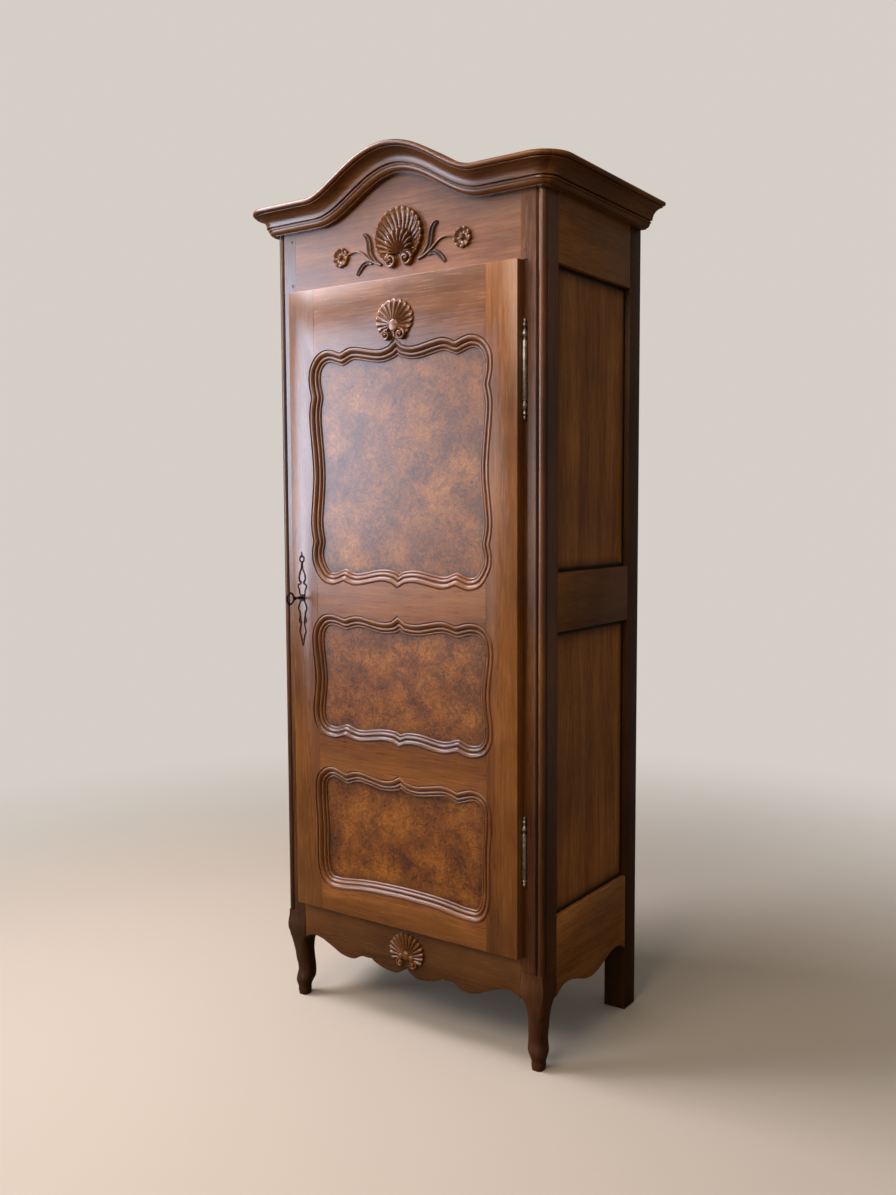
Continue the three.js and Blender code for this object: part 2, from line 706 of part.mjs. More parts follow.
function backRail(bottom, top, tenon) {
  const half = openingHalf - fitGap;
  const rail = block(-half, half, backRailFace, backRailFace + backRailThickness, bottom, top);
  return rail.add(block(...tenon)).add(mirrored(block(...tenon)));
}

function backBoard(index) {
  const reach = openingHalf + backBoardLap;
  const width = (2 * reach) / backBoardCount;
  const x0 = -reach + index * width;
  const x1 = x0 + width;
  const tongueFace = backBoardFace + (backBoardThickness - tongueThickness) / 2;
  const tongueAt = (x) => [x - overrun, x + tongueDepth, tongueFace, tongueFace + tongueThickness];
  const start = x0 + (index ? fitGap : 0);
  let board = block(start, x1, backBoardFace, bodyDepth, backBoardBottom, backBoardTop);
  if (index < backBoardCount - 1) board = board.add(block(...tongueAt(x1), backBoardBottom, backBoardTop));
  if (index > 0) {
    board = board.subtract(swell(fitGap, [...tongueAt(x0), backBoardBottom - overrun, backBoardTop + overrun]));
  }
  return board;
}

function floorBox() {
  const reach = sideInner + floorTongue;
  const bottom = openingBottom - floorThickness;
  return [-reach, reach, frontPostDepth + fitGap, rearPostFront - fitGap, bottom, openingBottom];
}

function floorBoard() {
  const [, reach, , , z0, z1] = floorBox();
  const outline = notchedOutline(openingHalf - fitGap, reach, railThickness + fitGap, backRailFace - fitGap);
  return prism('plan', outline, z0, z1);
}

// A board that fills the space between the posts and reaches forwards and back between them.
function notchedOutline(half, reach, front, back) {
  const y0 = frontPostDepth + fitGap;
  const y1 = rearPostFront - fitGap;
  const right = [[half, front], [half, y0], [reach, y0], [reach, y1], [half, y1], [half, back]];
  return [...right, ...right.slice().reverse().map(([x, y]) => [-x, y])];
}

// The top board covers the posts and lies behind the frieze rail's arch.
function topBoard() {
  const edge = halfWidth - fitGap;
  const front = railThickness + fitGap;
  const right = [[openingHalf, front], [openingHalf, fitGap], [halfWidth - beadRadius, fitGap]];
  right.push([edge, beadRadius], [edge, bodyDepth]);
  const outline = [...right, ...right.slice().reverse().map(([x, y]) => [-x, y])];
  return prism('plan', outline, carcaseTop + fitGap, carcaseTop + topBoardThickness);
}

function shelf(height) {
  const rear = backBoardFace - fitGap;
  const outline = notchedOutline(openingHalf - fitGap, sideInner - fitGap, shelfSetback, rear);
  return prism('plan', outline, height - shelfThickness, height);
}

function cleat(height) {
  const top = height - shelfThickness - fitGap;
  const x1 = sideInner - fitGap;
  const ends = [frontPostDepth + fitGap, rearPostFront - fitGap];
  return block(x1 - cleatThickness, x1, ...ends, top - cleatHeight, top);
}

// Carving: a fan of ribs that rises from its rail, and a pair of volutes at its foot.

function reliefShell({ lift, width, rise, relief, ribs, spread }, edge, face = 0) {
  const rings = [];
  const reach = THREE.MathUtils.degToRad(spread);
  for (let k = 0; k <= 2 * ribs; k++) {
    const angle = reach * (k / ribs - 1);
    const crest = k % 2;
    const rim = crest ? 1 : shellValleyShare;
    const out = width * rim * Math.sin(angle);
    const up = rise * rim * Math.cos(angle);
    const at = (share, depth) => new THREE.Vector3(share * out, face + depth, edge + lift + share * up);
    const foot = [at(shellFootShare, shellSeat), at(shellFootShare, -relief * shellFootReliefShare)];
    const front = shellReliefShares.map(([share, crestShare, valleyShare]) => {
      return at(share, -relief * (crest ? crestShare : valleyShare));
    });
    rings.push([...foot, ...front, at(1, shellSeat)]);
  }
  return loft(rings, sectionOf(rings[0]), sectionOf(rings.at(-1)));
}

// The flat outline of a ring that stands upright on the rail's face: its distance from its foot, and its depth.
function sectionOf(ring) {
  return ring.map((point) => [Math.hypot(point.x - ring[0].x, point.z - ring[0].z), point.y]);
}

function volutes({ spread, lift, radius, relief }, edge, face = 0) {
  return [-1, 1].map((side) => {
    const thickness = relief + shellSeat;
    const geometry = new THREE.CylinderGeometry(radius, radius * voluteTopShare, thickness, voluteSides);
    geometry.translate(side * spread, face + (shellSeat - relief) / 2, edge + lift);
    return solidOf(geometry);
  });
}

// Door

const doorPanels = {
  upper: { bottom: upperPanelBottom, top: upperPanelTop, outline: upperOutline },
  middle: { bottom: middlePanelBottom, top: middlePanelTop, outline: middleOutline },
  lower: { bottom: lowerPanelBottom, top: lowerPanelTop, outline: lowerOutline },
};

// What is cut out of the door's frame for one panel: the worked moulding and the opening behind it.
function mouldingCut({ bottom, top, outline }) {
  const rim = panelOutline(outline, bottom, top);
  const ringAt = (inset, y) => insetOutline(rim, inset).map(([x, z]) => new THREE.Vector3(x, y, z));
  const rings = [ringAt(0, -doorProud - overrun)];
  for (const [widthShare, depthShare] of mouldingShares) {
    rings.push(ringAt(widthShare * mouldingWidth, -doorProud + depthShare * panelRecess));
  }
  rings.push(ringAt(mouldingWidth, doorBack + overrun));
  return loft(rings, rim);
}

function doorPanelBox({ bottom, top }) {
  const half = panelHalf + panelGroove - fitGap;
  const y0 = -doorProud + panelRecess + fitGap;
  return [-half, half, y0, y0 + panelThickness, bottom - panelGroove + fitGap, top + panelGroove - fitGap];
}

// The four rails' tenons, kept clear of the panel grooves.
const panelEdge = (height, side) => height + side * (panelGroove + doorTenonShoulder);
const doorRailSpans = {
  top: [panelEdge(upperPanelTop, 1), doorTop - tenonShoulder],
  lock: [panelEdge(middlePanelTop, 1), panelEdge(upperPanelBottom, -1)],
  lower: [panelEdge(lowerPanelTop, 1), panelEdge(middlePanelBottom, -1)],
  bottom: [doorBottom + tenonShoulder, panelEdge(lowerPanelBottom, -1)],
};

function doorTenon(name) {
  const y0 = -doorProud + doorTenonSetback;
  const x1 = stileEdge + doorTenonLength;
  return [stileEdge - overrun, x1, y0, y0 + doorTenonThickness, ...doorRailSpans[name]];
}

const doorBlank = (() => {
  let blank = block(-doorHalf, doorHalf, -doorProud, doorBack, doorBottom, doorTop);
  for (const panel of Object.values(doorPanels)) {
    blank = blank.subtract(mouldingCut(panel)).subtract(swell(fitGap, doorPanelBox(panel)));
  }
  return blank;
})();

// The rails' moulded ends reach a little way along the stiles. Between them the stile has the moulding.
function stile() {
  const inner = stileEdge + fitGap / 2;
  const depths = [-doorProud - overrun, doorBack + overrun];
  const heights = [doorBottom - overrun, doorTop + overrun];
  let piece = doorBlank.intersect(block(inner, doorHalf + overrun, ...depths, ...heights));
  for (const { bottom, top } of Object.values(doorPanels)) {
    const edge = block(0, inner + overrun, ...depths, bottom + railHorn + fitGap, top - railHorn - fitGap);
    piece = piece.add(doorBlank.intersect(edge));
  }
  for (const name of Object.keys(doorRailSpans)) piece = piece.subtract(swell(fitGap, doorTenon(name)));
  return piece;
}

function doorRail(name) {
  const spans = {
    top: [upperPanelTop - railHorn, doorTop + overrun],
    lock: [middlePanelTop - railHorn, upperPanelBottom + railHorn],
    lower: [lowerPanelTop - railHorn, middlePanelBottom + railHorn],
    bottom: [doorBottom - overrun, lowerPanelBottom + railHorn],
  };
  const half = stileEdge - fitGap / 2;
  const slab = block(-half, half, -doorProud - overrun, doorBack + overrun, ...spans[name]);
  const tenon = block(...doorTenon(name));
  return doorBlank.intersect(slab).add(tenon).add(mirrored(tenon));
}

// Vase hinges: the frame's half carries the pin, the door's half turns on it, and each has a leaf let into
// the wood.

const hinges = {
  upper: { ...upperHinge, split: doorTop - upperHingeDrop },
  lower: { ...lowerHinge, split: doorBottom + lowerHingeLift },
};

function frameLeaf({ split, lowerBarrel }) {
  const slack = leafEndShare * lowerBarrel;
  const x0 = hingeX - leafThickness / 2;
  const heights = [split - lowerBarrel + slack, split - slack];
  return [x0, x0 + leafThickness, hingeAxisDepth, rabbetDepth + leafReach, ...heights];
}

function doorLeaf({ split, upperBarrel }) {
  const slack = leafEndShare * upperBarrel;
  const y0 = hingeAxisDepth - leafThickness / 2;
  return [doorHalf - leafReach, hingeX, y0, y0 + leafThickness, split + slack, split + upperBarrel - slack];
}

// The profile of a vase that starts at the barrel's end and runs up, or down where its length is negative.
function vase(start, length) {
  return vaseShares.map(([across, along]) => [across * barrelRadius, start + along * length]);
}

function frameKnuckle(hinge) {
  const top = hinge.split - fitGap / 2;
  const barrelEnd = hinge.split - hinge.lowerBarrel;
  const profile = [[0, barrelEnd - hinge.lowerVase], ...vase(barrelEnd, -hinge.lowerVase).reverse()];
  const pinTop = hinge.split + pinLength;
  profile.push([barrelRadius, top], [pinRadius, top], [pinRadius, pinTop], [0, pinTop]);
  return turned(profile, hingeX, hingeAxisDepth, hingeSides).add(block(...frameLeaf(hinge)));
}

function doorKnuckle(hinge) {
  const bottom = hinge.split + fitGap / 2;
  const barrelEnd = hinge.split + hinge.upperBarrel;
  const profile = [[0, bottom], [barrelRadius, bottom], ...vase(barrelEnd, hinge.upperVase)];
  profile.push([0, barrelEnd + hinge.upperVase]);
  const bore = pinRadius + fitGap;
  const boreTop = hinge.split + pinLength + fitGap;
  const boreProfile = [[0, bottom - overrun], [bore, bottom - overrun], [bore, boreTop], [0, boreTop]];
  const hole = turned(boreProfile, hingeX, hingeAxisDepth, hingeSides);
  return turned(profile, hingeX, hingeAxisDepth, hingeSides).add(block(...doorLeaf(hinge))).subtract(hole);
}

// Lock, bolt, key and escutcheon, on the lock stile

const lockCaseX = lockCaseInset - openingHalf;
const lockCaseFace = doorBack + fitGap;
const lockCaseBack = lockCaseFace + lockCaseDepth;
const lockCaseBottom = keyHeight - lockCaseDropShare * lockCaseHeight;
const boltBottom = keyHeight + boltLift;
const boltRear = lockCaseBack - lockCaseWall - fitGap;

function boltBox(x0, x1) {
  return [x0, x1, boltRear - boltThickness, boltRear, boltBottom, boltBottom + boltHeight];
}

function lockCase() {
  const x1 = lockCaseX + lockCaseWidth;
  const top = lockCaseBottom + lockCaseHeight;
  const floor = lockCaseBack - lockCaseWall;
  const hollow = swell(-lockCaseWall, [lockCaseX, x1, -doorProud, lockCaseBack, lockCaseBottom, top]);
  const channel = swell(fitGap, boltBox(lockCaseX - overrun, lockCaseX + lockCaseWall + overrun));
  const seat = rod(keyRadius + fitGap, keyX, keyHeight, floor - overrun, lockCaseBack + overrun, ovalSides);
  const body = block(lockCaseX, x1, lockCaseFace, lockCaseBack, lockCaseBottom, top);
  return body.subtract(hollow).subtract(channel).subtract(seat);
}

function lockBolt() {
  const x0 = lockCaseX + fitGap;
  const talonStart = keyX + (boltThrow - boltTalonWidth) / 2;
  const bolt = block(...boltBox(x0, x0 + boltLength));
  const depths = [boltRear - boltThickness - overrun, boltRear + overrun];
  const talon = [talonStart, talonStart + boltTalonWidth, ...depths];
  return bolt.subtract(block(...talon, boltBottom - overrun, boltBottom + boltTalonDepth));
}

const strikeCentre = [boltRear - boltThickness / 2, boltBottom + boltHeight / 2];

function strikeHole(depth) {
  const [y, z] = strikeCentre;
  const halfY = boltThickness / 2 + doorClearance;
  const halfZ = boltHeight / 2 + doorClearance;
  return [-openingHalf - depth, -openingHalf + overrun, y - halfY, y + halfY, z - halfZ, z + halfZ];
}

function strikeBox() {
  const [y, z] = strikeCentre;
  const halfY = strikePlateWidth / 2;
  const halfZ = strikePlateHeight / 2;
  return [-openingHalf - strikePlateThickness, -openingHalf, y - halfY, y + halfY, z - halfZ, z + halfZ];
}

function strikePlate() {
  return block(...strikeBox()).subtract(block(...strikeHole(strikePlateThickness + overrun)));
}

function keyHole(gap) {
  const y0 = -doorProud - escutcheonThickness - overrun;
  const y1 = doorBack + overrun;
  const half = keyHoleSlotWidth / 2;
  const slot = block(keyX - half, keyX + half, y0, y1, keyHeight - keyHoleSlot, keyHeight);
  return rod(keyRadius + gap, keyX, keyHeight, y0, y1, ovalSides).add(slot);
}

function key() {
  const bowFront = -doorProud - keyShankReach;
  const shank = rod(keyRadius, keyX, keyHeight, bowFront - keyBowWire, lockCaseBack - fitGap, ovalSides);
  const bitEnd = boltRear - boltThickness + keyBitReach - boltTalonDepth;
  const half = keyBitThickness / 2;
  const bitStart = lockCaseFace + boltTalonDepth;
  const bit = block(keyX - half, keyX + half, bitStart, bitEnd, keyHeight - keyBitReach, keyHeight);
  const collar = rod(keyCollarRadius, keyX, keyHeight, bowFront, bowFront + keyCollarLength, ovalSides);
  const ring = new THREE.TorusGeometry(keyBowHeight / 2 - keyBowWire, keyBowWire, keyBowSides, keyBowSteps);
  ring.scale(keyBowLength / keyBowHeight, 1, 1);
  ring.rotateZ(quarter);
  ring.rotateY(quarter);
  ring.translate(keyX, bowFront - keyBowLength / 2, keyHeight);
  return union([shank, bit, collar, solidOf(ring)]);
}

function escutcheon() {
  const half = escutcheonWidth / 2;
  const bottom = keyHeight - escutcheonDrop;
  const right = escutcheonShares.map(([u, v]) => [keyX + u * half, bottom + v * escutcheonHeight]);
  const left = right.slice(1, -1).reverse().map(([x, z]) => [2 * keyX - x, z]);
  const oval = (side, [u, v, widthShare, heightShare]) => Array.from({ length: ovalSides }, (_, k) => {
    const angle = (-side * full * k) / ovalSides;
    const across = half * (u + widthShare * Math.cos(angle));
    return [keyX + side * across, bottom + escutcheonHeight * (v + heightShare * Math.sin(angle))];
  });
  const holes = [-1, 1].flatMap((side) => escutcheonHoleShares.map((shares) => oval(side, shares)));
  const face = -doorProud - fitGap;
  const plate = prism('front', [...right, ...left], face - escutcheonThickness, face, holes);
  return plate.subtract(keyHole(fitGap));
}

// Assembly

const cabinet = new THREE.Group();
const carcase = new THREE.Group();
const door = new THREE.Group();
cabinet.add(carcase, door);

function place(group, name, solid, finishOf) {
  const mesh = new THREE.Mesh(geometryOf(solid), new THREE.MeshStandardMaterial(finishOf));
  mesh.name = name;
  group.add(mesh);
  return mesh;
}

function placePair(name, solid, finishOf) {
  place(carcase, `${name}_right`, solid, finishOf);
  place(carcase, `${name}_left`, mirrored(solid), finishOf);
}

const post = frontPost();
let hingePost = post.subtract(doorRabbet());
for (const hinge of Object.values(hinges)) hingePost = hingePost.subtract(swell(fitGap, frameLeaf(hinge)));
const strikePost = mirrored(post).subtract(doorRabbet()).subtract(swell(fitGap, strikeBox()));
place(carcase, 'front_post_left', strikePost.subtract(block(...strikeHole(boltPocket))), walnut);
place(carcase, 'front_post_right', hingePost, walnut);
placePair('rear_post', rearPost(), sideWalnut);
place(carcase, 'frieze_rail', friezeRail(), walnut);
place(carcase, 'apron_rail', apronRail(), walnut);
for (const name of Object.keys(sideRailSpans)) placePair(`side_${name}_rail`, sideRail(name), sideWalnut);
for (const name of Object.keys(sidePanelSpans)) placePair(`side_${name}_panel`, sidePanel(name), sideWalnut);
place(carcase, 'back_top_rail', backRail(backTopRailBottom, carcaseTop, backTopTenon), innerWood);
place(carcase, 'back_bottom_rail', backRail(backBottomRailBottom, openingBottom, backBottomTenon), innerWood);
for (let k = 0; k < backBoardCount; k++) place(carcase, `back_board_${k + 1}`, backBoard(k), innerWood);
place(carcase, 'floor_board', floorBoard(), innerWood);
place(carcase, 'top_board', topBoard(), innerWood);
for (const [name, height] of Object.entries(shelfHeights)) {
  place(carcase, `shelf_${name}`, shelf(height), innerWood);
  placePair(`cleat_${name}`, cleat(height), innerWood);
}
place(carcase, 'cornice_front', corniceFront(), walnut);
placePair('cornice', corniceSide(), sideWalnut);
for (const [name, lift] of Object.entries(pegLifts)) {
  const peg = rod(pegRadius, halfWidth - pegInset, openingTop + lift, -pegProud, pegDepth - fitGap, pegSides);
  placePair(`frieze_peg_${name}`, peg, sideWalnut);
}
place(carcase, 'strike_plate', strikePlate(), blackIron);

const rightStile = stile();
let hingeStile = rightStile;
for (const hinge of Object.values(hinges)) hingeStile = hingeStile.subtract(swell(fitGap, doorLeaf(hinge)));
place(door, 'hinge_stile', hingeStile, walnut);
place(door, 'lock_stile', mirrored(rightStile).subtract(keyHole(fitGap)), walnut);
for (const name of Object.keys(doorRailSpans)) {
  if (name === 'top') continue;
  place(door, `door_${name}_rail`, doorRail(name), walnut);
}
const doorFan = reliefShell(doorShell, upperPanelTop, -doorProud);
const doorVolutes = volutes(doorVolute, upperPanelTop, -doorProud);
place(door, 'door_top_rail', union([doorRail('top'), doorFan, ...doorVolutes]), walnut);
for (const [name, panel] of Object.entries(doorPanels)) {
  place(door, `door_${name}_panel`, block(...doorPanelBox(panel)), burr);
}
for (const [name, hinge] of Object.entries(hinges)) {
  place(carcase, `hinge_${name}_frame_knuckle`, frameKnuckle(hinge), hingeSteel);
  place(door, `hinge_${name}_door_knuckle`, doorKnuckle(hinge), hingeSteel);
}
place(door, 'escutcheon', escutcheon(), blackIron);
place(door, 'lock_case', lockCase(), blackIron);
place(door, 'lock_bolt', lockBolt(), blackIron);
place(door, 'key', key(), blackIron);

const frontReach = doorProud + keyShankReach + keyBowLength;
cabinet.position.y = (frontReach - bodyDepth) / 2;

export default cabinet;
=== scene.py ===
# The looks of a bonnetiere: a tall walnut linen cabinet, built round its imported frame.
# Sizes in the dictionaries are millimetres in the body's own frame: x from the centre line, y back from
# the front of the posts, z up from the floor. Finished meshes are in metres, where the frame has them.
import itertools
import json
import math

import bmesh
import bpy
import numpy as np
from mathutils import Matrix, Vector


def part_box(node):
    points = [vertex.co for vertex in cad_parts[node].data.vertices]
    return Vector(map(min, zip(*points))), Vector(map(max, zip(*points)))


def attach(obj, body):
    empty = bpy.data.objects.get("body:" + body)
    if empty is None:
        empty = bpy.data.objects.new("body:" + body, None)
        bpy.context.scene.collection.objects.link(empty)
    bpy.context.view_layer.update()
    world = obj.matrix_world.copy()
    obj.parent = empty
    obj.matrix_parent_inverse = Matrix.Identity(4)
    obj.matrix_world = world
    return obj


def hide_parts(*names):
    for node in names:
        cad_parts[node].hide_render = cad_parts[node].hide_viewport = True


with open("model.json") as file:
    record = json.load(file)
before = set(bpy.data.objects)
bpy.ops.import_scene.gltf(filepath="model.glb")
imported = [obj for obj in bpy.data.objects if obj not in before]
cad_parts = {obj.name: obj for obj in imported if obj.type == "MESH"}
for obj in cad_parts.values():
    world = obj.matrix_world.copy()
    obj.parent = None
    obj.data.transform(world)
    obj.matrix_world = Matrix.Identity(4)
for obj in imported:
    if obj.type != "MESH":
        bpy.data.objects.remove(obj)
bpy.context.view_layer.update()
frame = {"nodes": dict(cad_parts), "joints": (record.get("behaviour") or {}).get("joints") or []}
print("frame loaded,", len(frame["nodes"]), "nodes")

mm = 0.001
perMetre = 1000.0
weld = 0.01
fineWeld = 0.001
bodyDepth = 490
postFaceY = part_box("rear_post_right")[1].y - bodyDepth * mm
toFrame = Matrix.Translation((0, postFaceY, 0)) @ Matrix.Scale(mm, 4)
fromFrame = toFrame.inverted()
fullTurn = 2 * math.pi
upAxis = Vector((0, 0, 1))
depthAxis = Vector((0, 1, 0))


# What the pieces share: places read from the frame, and a few widths

def boxOf(node):
    low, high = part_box(node)
    return fromFrame @ low, fromFrame @ high


body = {
    "half": boxOf("rear_post_right")[1].x,
    "postInner": boxOf("rear_post_right")[0].x,
    "postDepth": boxOf("front_post_right")[1].y,
    "top": boxOf("front_post_right")[1].z,
    "rearFront": boxOf("rear_post_right")[0].y,
    "depth": bodyDepth,
    "corniceBase": boxOf("cornice_right")[0].z,
    "gap": 0.3,
}
door = {
    "half": boxOf("hinge_stile")[1].x,
    "front": boxOf("hinge_stile")[0].y,
    "back": boxOf("hinge_stile")[1].y,
    "bottom": boxOf("hinge_stile")[0].z,
    "top": boxOf("hinge_stile")[1].z,
    "stileWidth": 85,
    "panelMargin": 65,
    "panelGroove": 7.7,
    "rabbet": 5,
    "clearance": 1,
    "horn": 80,
    "jointGap": 0.25,
}
door["joint"] = door["half"] - door["stileWidth"]
door["panelHalf"] = door["half"] - door["panelMargin"]


# Mesh helpers

def loopOf(bm, points, closed=True):
    verts = [bm.verts.new(point) for point in points]
    pairs = list(zip(verts, verts[1:]))
    if closed:
        pairs.append((verts[-1], verts[0]))
    return verts, [bm.edges.new(pair) for pair in pairs]


def skin(bm, rings, closed=True, caps=True):
    loops = [loopOf(bm, ring, closed) for ring in rings]
    for (_, before), (_, after) in zip(loops, loops[1:]):
        bmesh.ops.bridge_loops(bm, edges=before + after)
    if caps and closed:
        for _, edges in (loops[0], loops[-1]):
            bmesh.ops.edgeloop_fill(bm, edges=edges)
    return loops


def gridOf(bm, columns, rows, pointOf):
    made = bmesh.ops.create_grid(bm, x_segments=columns, y_segments=rows, size=0.5)["verts"]
    for vert in made:
        vert.co = pointOf(vert.co.x + 0.5, vert.co.y + 0.5)
    return made


def smoothCurve(points, spacing):
    # A curve through given points, without its last one; two points make one straight stretch.
    points = [Vector(point) for point in points]
    if len(points) == 2:
        return [points[0]]
    last = len(points) - 1
    curve = []
    for k in range(last):
        before, start = points[max(k - 1, 0)], points[k]
        end, after = points[k + 1], points[min(k + 2, last)]
        leave, arrive = (end - before) / 2, (after - start) / 2
        steps = max(2, round((end - start).length / spacing))
        for step in range(steps):
            t = step / steps
            bend = (2 * (start - end) + leave + arrive) * t ** 3
            curve.append(bend + (3 * (end - start) - 2 * leave - arrive) * t ** 2 + leave * t + start)
    return curve


def curveThrough(points, spacing):
    return smoothCurve(points, spacing) + [Vector(points[-1])]


def arc(u, v, radius, start, end, steps):
    angles = [start + (end - start) * k / steps for k in range(steps + 1)]
    return [(u + radius * math.cos(angle), v + radius * math.sin(angle)) for angle in angles]


def sweep(bm, path, widthOf, depthOf, sides=10):
    # A round or flat bar along a path that lies parallel to the front; its ends are closed.
    rings = []
    for k, point in enumerate(path):
        along = (path[min(k + 1, len(path) - 1)] - path[max(k - 1, 0)]).normalized()
        across = along.cross(depthAxis).normalized()
        share = k / (len(path) - 1)
        width, depth = widthOf(share), depthOf(share)
        turns = [fullTurn * side / sides for side in range(sides)]
        wide, deep = across * width, depthAxis * depth
        rings.append([point + wide * math.cos(a) + deep * math.sin(a) for a in turns])
    skin(bm, rings)


def spun(bm, profile, x, y, steps=32):
    # Turned on an upright axis, from points of radius and height.
    verts, edges = loopOf(bm, [(x + r, y, z) for r, z in profile], closed=False)
    bmesh.ops.spin(bm, geom=verts + edges, cent=(x, y, 0), axis=upAxis, dvec=(0, 0, 0), angle=fullTurn,
                   steps=steps, use_merge=True, use_duplicate=False)
    bmesh.ops.remove_doubles(bm, verts=bm.verts, dist=fineWeld)


def block(bm, low, high):
    made = bmesh.ops.create_cube(bm, size=1)["verts"]
    low, high = Vector(low), Vector(high)
    bmesh.ops.scale(bm, verts=made, vec=high - low)
    bmesh.ops.translate(bm, verts=made, vec=(low + high) / 2)


def bevelEdges(bm, edges, width):
    bmesh.ops.bevel(bm, geom=list(edges), offset=width, offset_type="OFFSET", segments=2, profile=0.5,
                    affect="EDGES", clamp_overlap=True, material=-1)


def sharpEdges(bm, angle=30):
    return [e for e in bm.edges if len(e.link_faces) == 2 and e.calc_face_angle(0) > math.radians(angle)]


def allOf(bm):
    return bm.verts[:] + bm.edges[:] + bm.faces[:]


def cut(bm, point, normal):
    # Keeps what lies behind the plane, and closes the cut.
    made = bmesh.ops.bisect_plane(bm, geom=allOf(bm), plane_co=point, plane_no=normal, clear_outer=True,
                                  dist=fineWeld / 10)
    edges = [item for item in made["geom_cut"] if isinstance(item, bmesh.types.BMEdge)]
    bmesh.ops.holes_fill(bm, edges=edges, sides=0)


def sliceAt(bm, axis, places):
    # Parts the faces along planes across one axis, so that a shade can vary over them.
    normal = [int(k == axis) for k in range(3)]
    for place in places:
        point = [place * n for n in normal]
        bmesh.ops.bisect_plane(bm, geom=allOf(bm), plane_co=point, plane_no=normal)


def sliceEvenly(bm, low, high, axes, cell):
    for axis in axes:
        length = high[axis] - low[axis]
        steps = round(length / cell)
        sliceAt(bm, axis, [low[axis] + length * k / steps for k in range(1, steps)])


def placesOf(mesh):
    return [fromFrame @ vert.co for vert in mesh.vertices]


def writeAttribute(mesh, name, values):
    layer = mesh.attributes.new(name, "FLOAT", "POINT")
    layer.data.foreach_set("value", np.asarray(values, np.float32))


def hollowsOf(mesh, rounds):
    # How far each point lies below (above 0) or above (below 0) its neighbours.
    count = len(mesh.vertices)
    places, normals = np.zeros(count * 3, np.float32), np.zeros(count * 3, np.float32)
    ends = np.zeros(len(mesh.edges) * 2, np.int32)
    mesh.vertices.foreach_get("co", places)
    mesh.vertices.foreach_get("normal", normals)
    mesh.edges.foreach_get("vertices", ends)
    places, normals, ends = places.reshape(-1, 3), normals.reshape(-1, 3), ends.reshape(-1, 2)
    first, second = ends[:, 0], ends[:, 1]
    step = places[second] - places[first]
    length = np.maximum(np.linalg.norm(step, axis=1), 1e-7)
    degree = np.bincount(ends.ravel(), minlength=count).clip(1)
    rise = np.einsum("ij,ij->i", step, normals[first]) / length
    fall = -np.einsum("ij,ij->i", step, normals[second]) / length
    value = (np.bincount(first, rise, count) + np.bincount(second, fall, count)) / degree
    for _ in range(rounds):
        around = np.bincount(first, value[second], count) + np.bincount(second, value[first], count)
        value = 0.5 * value + 0.5 * around / degree
    return value


def finishPiece(bm, name, finish, ridesOn="carcase", slot="walnut", stands=(), sharp=34, tone=1.0,
                shadeAt=None, soften=3):
    bmesh.ops.recalc_face_normals(bm, faces=bm.faces)
    bmesh.ops.transform(bm, matrix=toFrame, verts=bm.verts)
    mesh = bpy.data.meshes.new(name)
    bm.to_mesh(mesh)
    bm.free()
    mesh.shade_smooth()
    mesh.set_sharp_from_angle(angle=math.radians(sharp))
    hollows = hollowsOf(mesh, soften)
    # Painted shade from shadeAt joins the hollows, where it darkens the wood.
    if shadeAt:
        hollows = np.maximum(hollows, shadeAt(mesh))
    writeAttribute(mesh, "hollow", hollows)
    writeAttribute(mesh, "board", np.full(len(mesh.vertices), next(boardNumbers)))
    writeAttribute(mesh, "tone", np.full(len(mesh.vertices), tone))
    mesh.materials.append(finishes[finish])
    piece = bpy.data.objects.new(name, mesh)
    bpy.context.scene.collection.objects.link(piece)
    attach(piece, ridesOn)
    if stands:
        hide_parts(*stands)


boardNumbers = itertools.count(1)


# Node helpers and finishes

def linear(hexColour):
    parts = [int(hexColour[k:k + 2], 16) / 255 for k in (1, 3, 5)]
    return tuple(p / 12.92 if p <= 0.04045 else ((p + 0.055) / 1.055) ** 2.4 for p in parts) + (1,)


def setInputs(tree, node, inputs):
    # A node given as a value is linked by its first output, a socket as it is; the rest are plain values.
    for name, value in inputs.items():
        if isinstance(value, bpy.types.Node):
            value = value.outputs[0]
        if isinstance(value, bpy.types.NodeSocket):
            tree.links.new(value, node.inputs[name])
        else:
            node.inputs[name].default_value = value


def addNode(tree, kind, inputs=None, stops=None, **settings):
    node = tree.nodes.new("ShaderNode" + kind)
    for name, value in settings.items():
        setattr(node, name, value)
    setInputs(tree, node, inputs or {})
    for k, (position, value) in enumerate(stops or []):
        elements = node.color_ramp.elements
        element = elements[k] if k < len(elements) else elements.new(position)
        element.position = position
        element.color = linear(value) if isinstance(value, str) else (value, value, value, 1)
    return node


def span(value, source, target=(0, 1)):
    # What a range is mapped with: the value, the range it comes from and the one it goes to.
    return {"Value": value, "From Min": source[0], "From Max": source[1], "To Min": target[0],
            "To Max": target[1]}


def emptyMaterial(name, surface):
    material = bpy.data.materials.new(name)
    material.use_nodes = True
    tree = material.node_tree
    shader = tree.nodes["Principled BSDF"]
    setInputs(tree, shader, surface)
    return material, tree, shader


def pieceInputs(tree, stride):
    # The object's coordinates, the same moved by a stride per board so that no two share their figure, and
    # the piece's hollows, which carry painted shade too, and tone.
    place = addNode(tree, "TexCoord").outputs["Object"]
    board, hollow, tone = (addNode(tree, "Attribute", attribute_name=name).outputs["Fac"]
                           for name in ("board", "hollow", "tone"))
    jump = addNode(tree, "CombineXYZ", {i: board for i in range(3)})
    moved = addNode(tree, "VectorMath", {0: jump, 1: stride, 2: place}, operation="MULTIPLY_ADD")
    return place, moved, hollow, tone


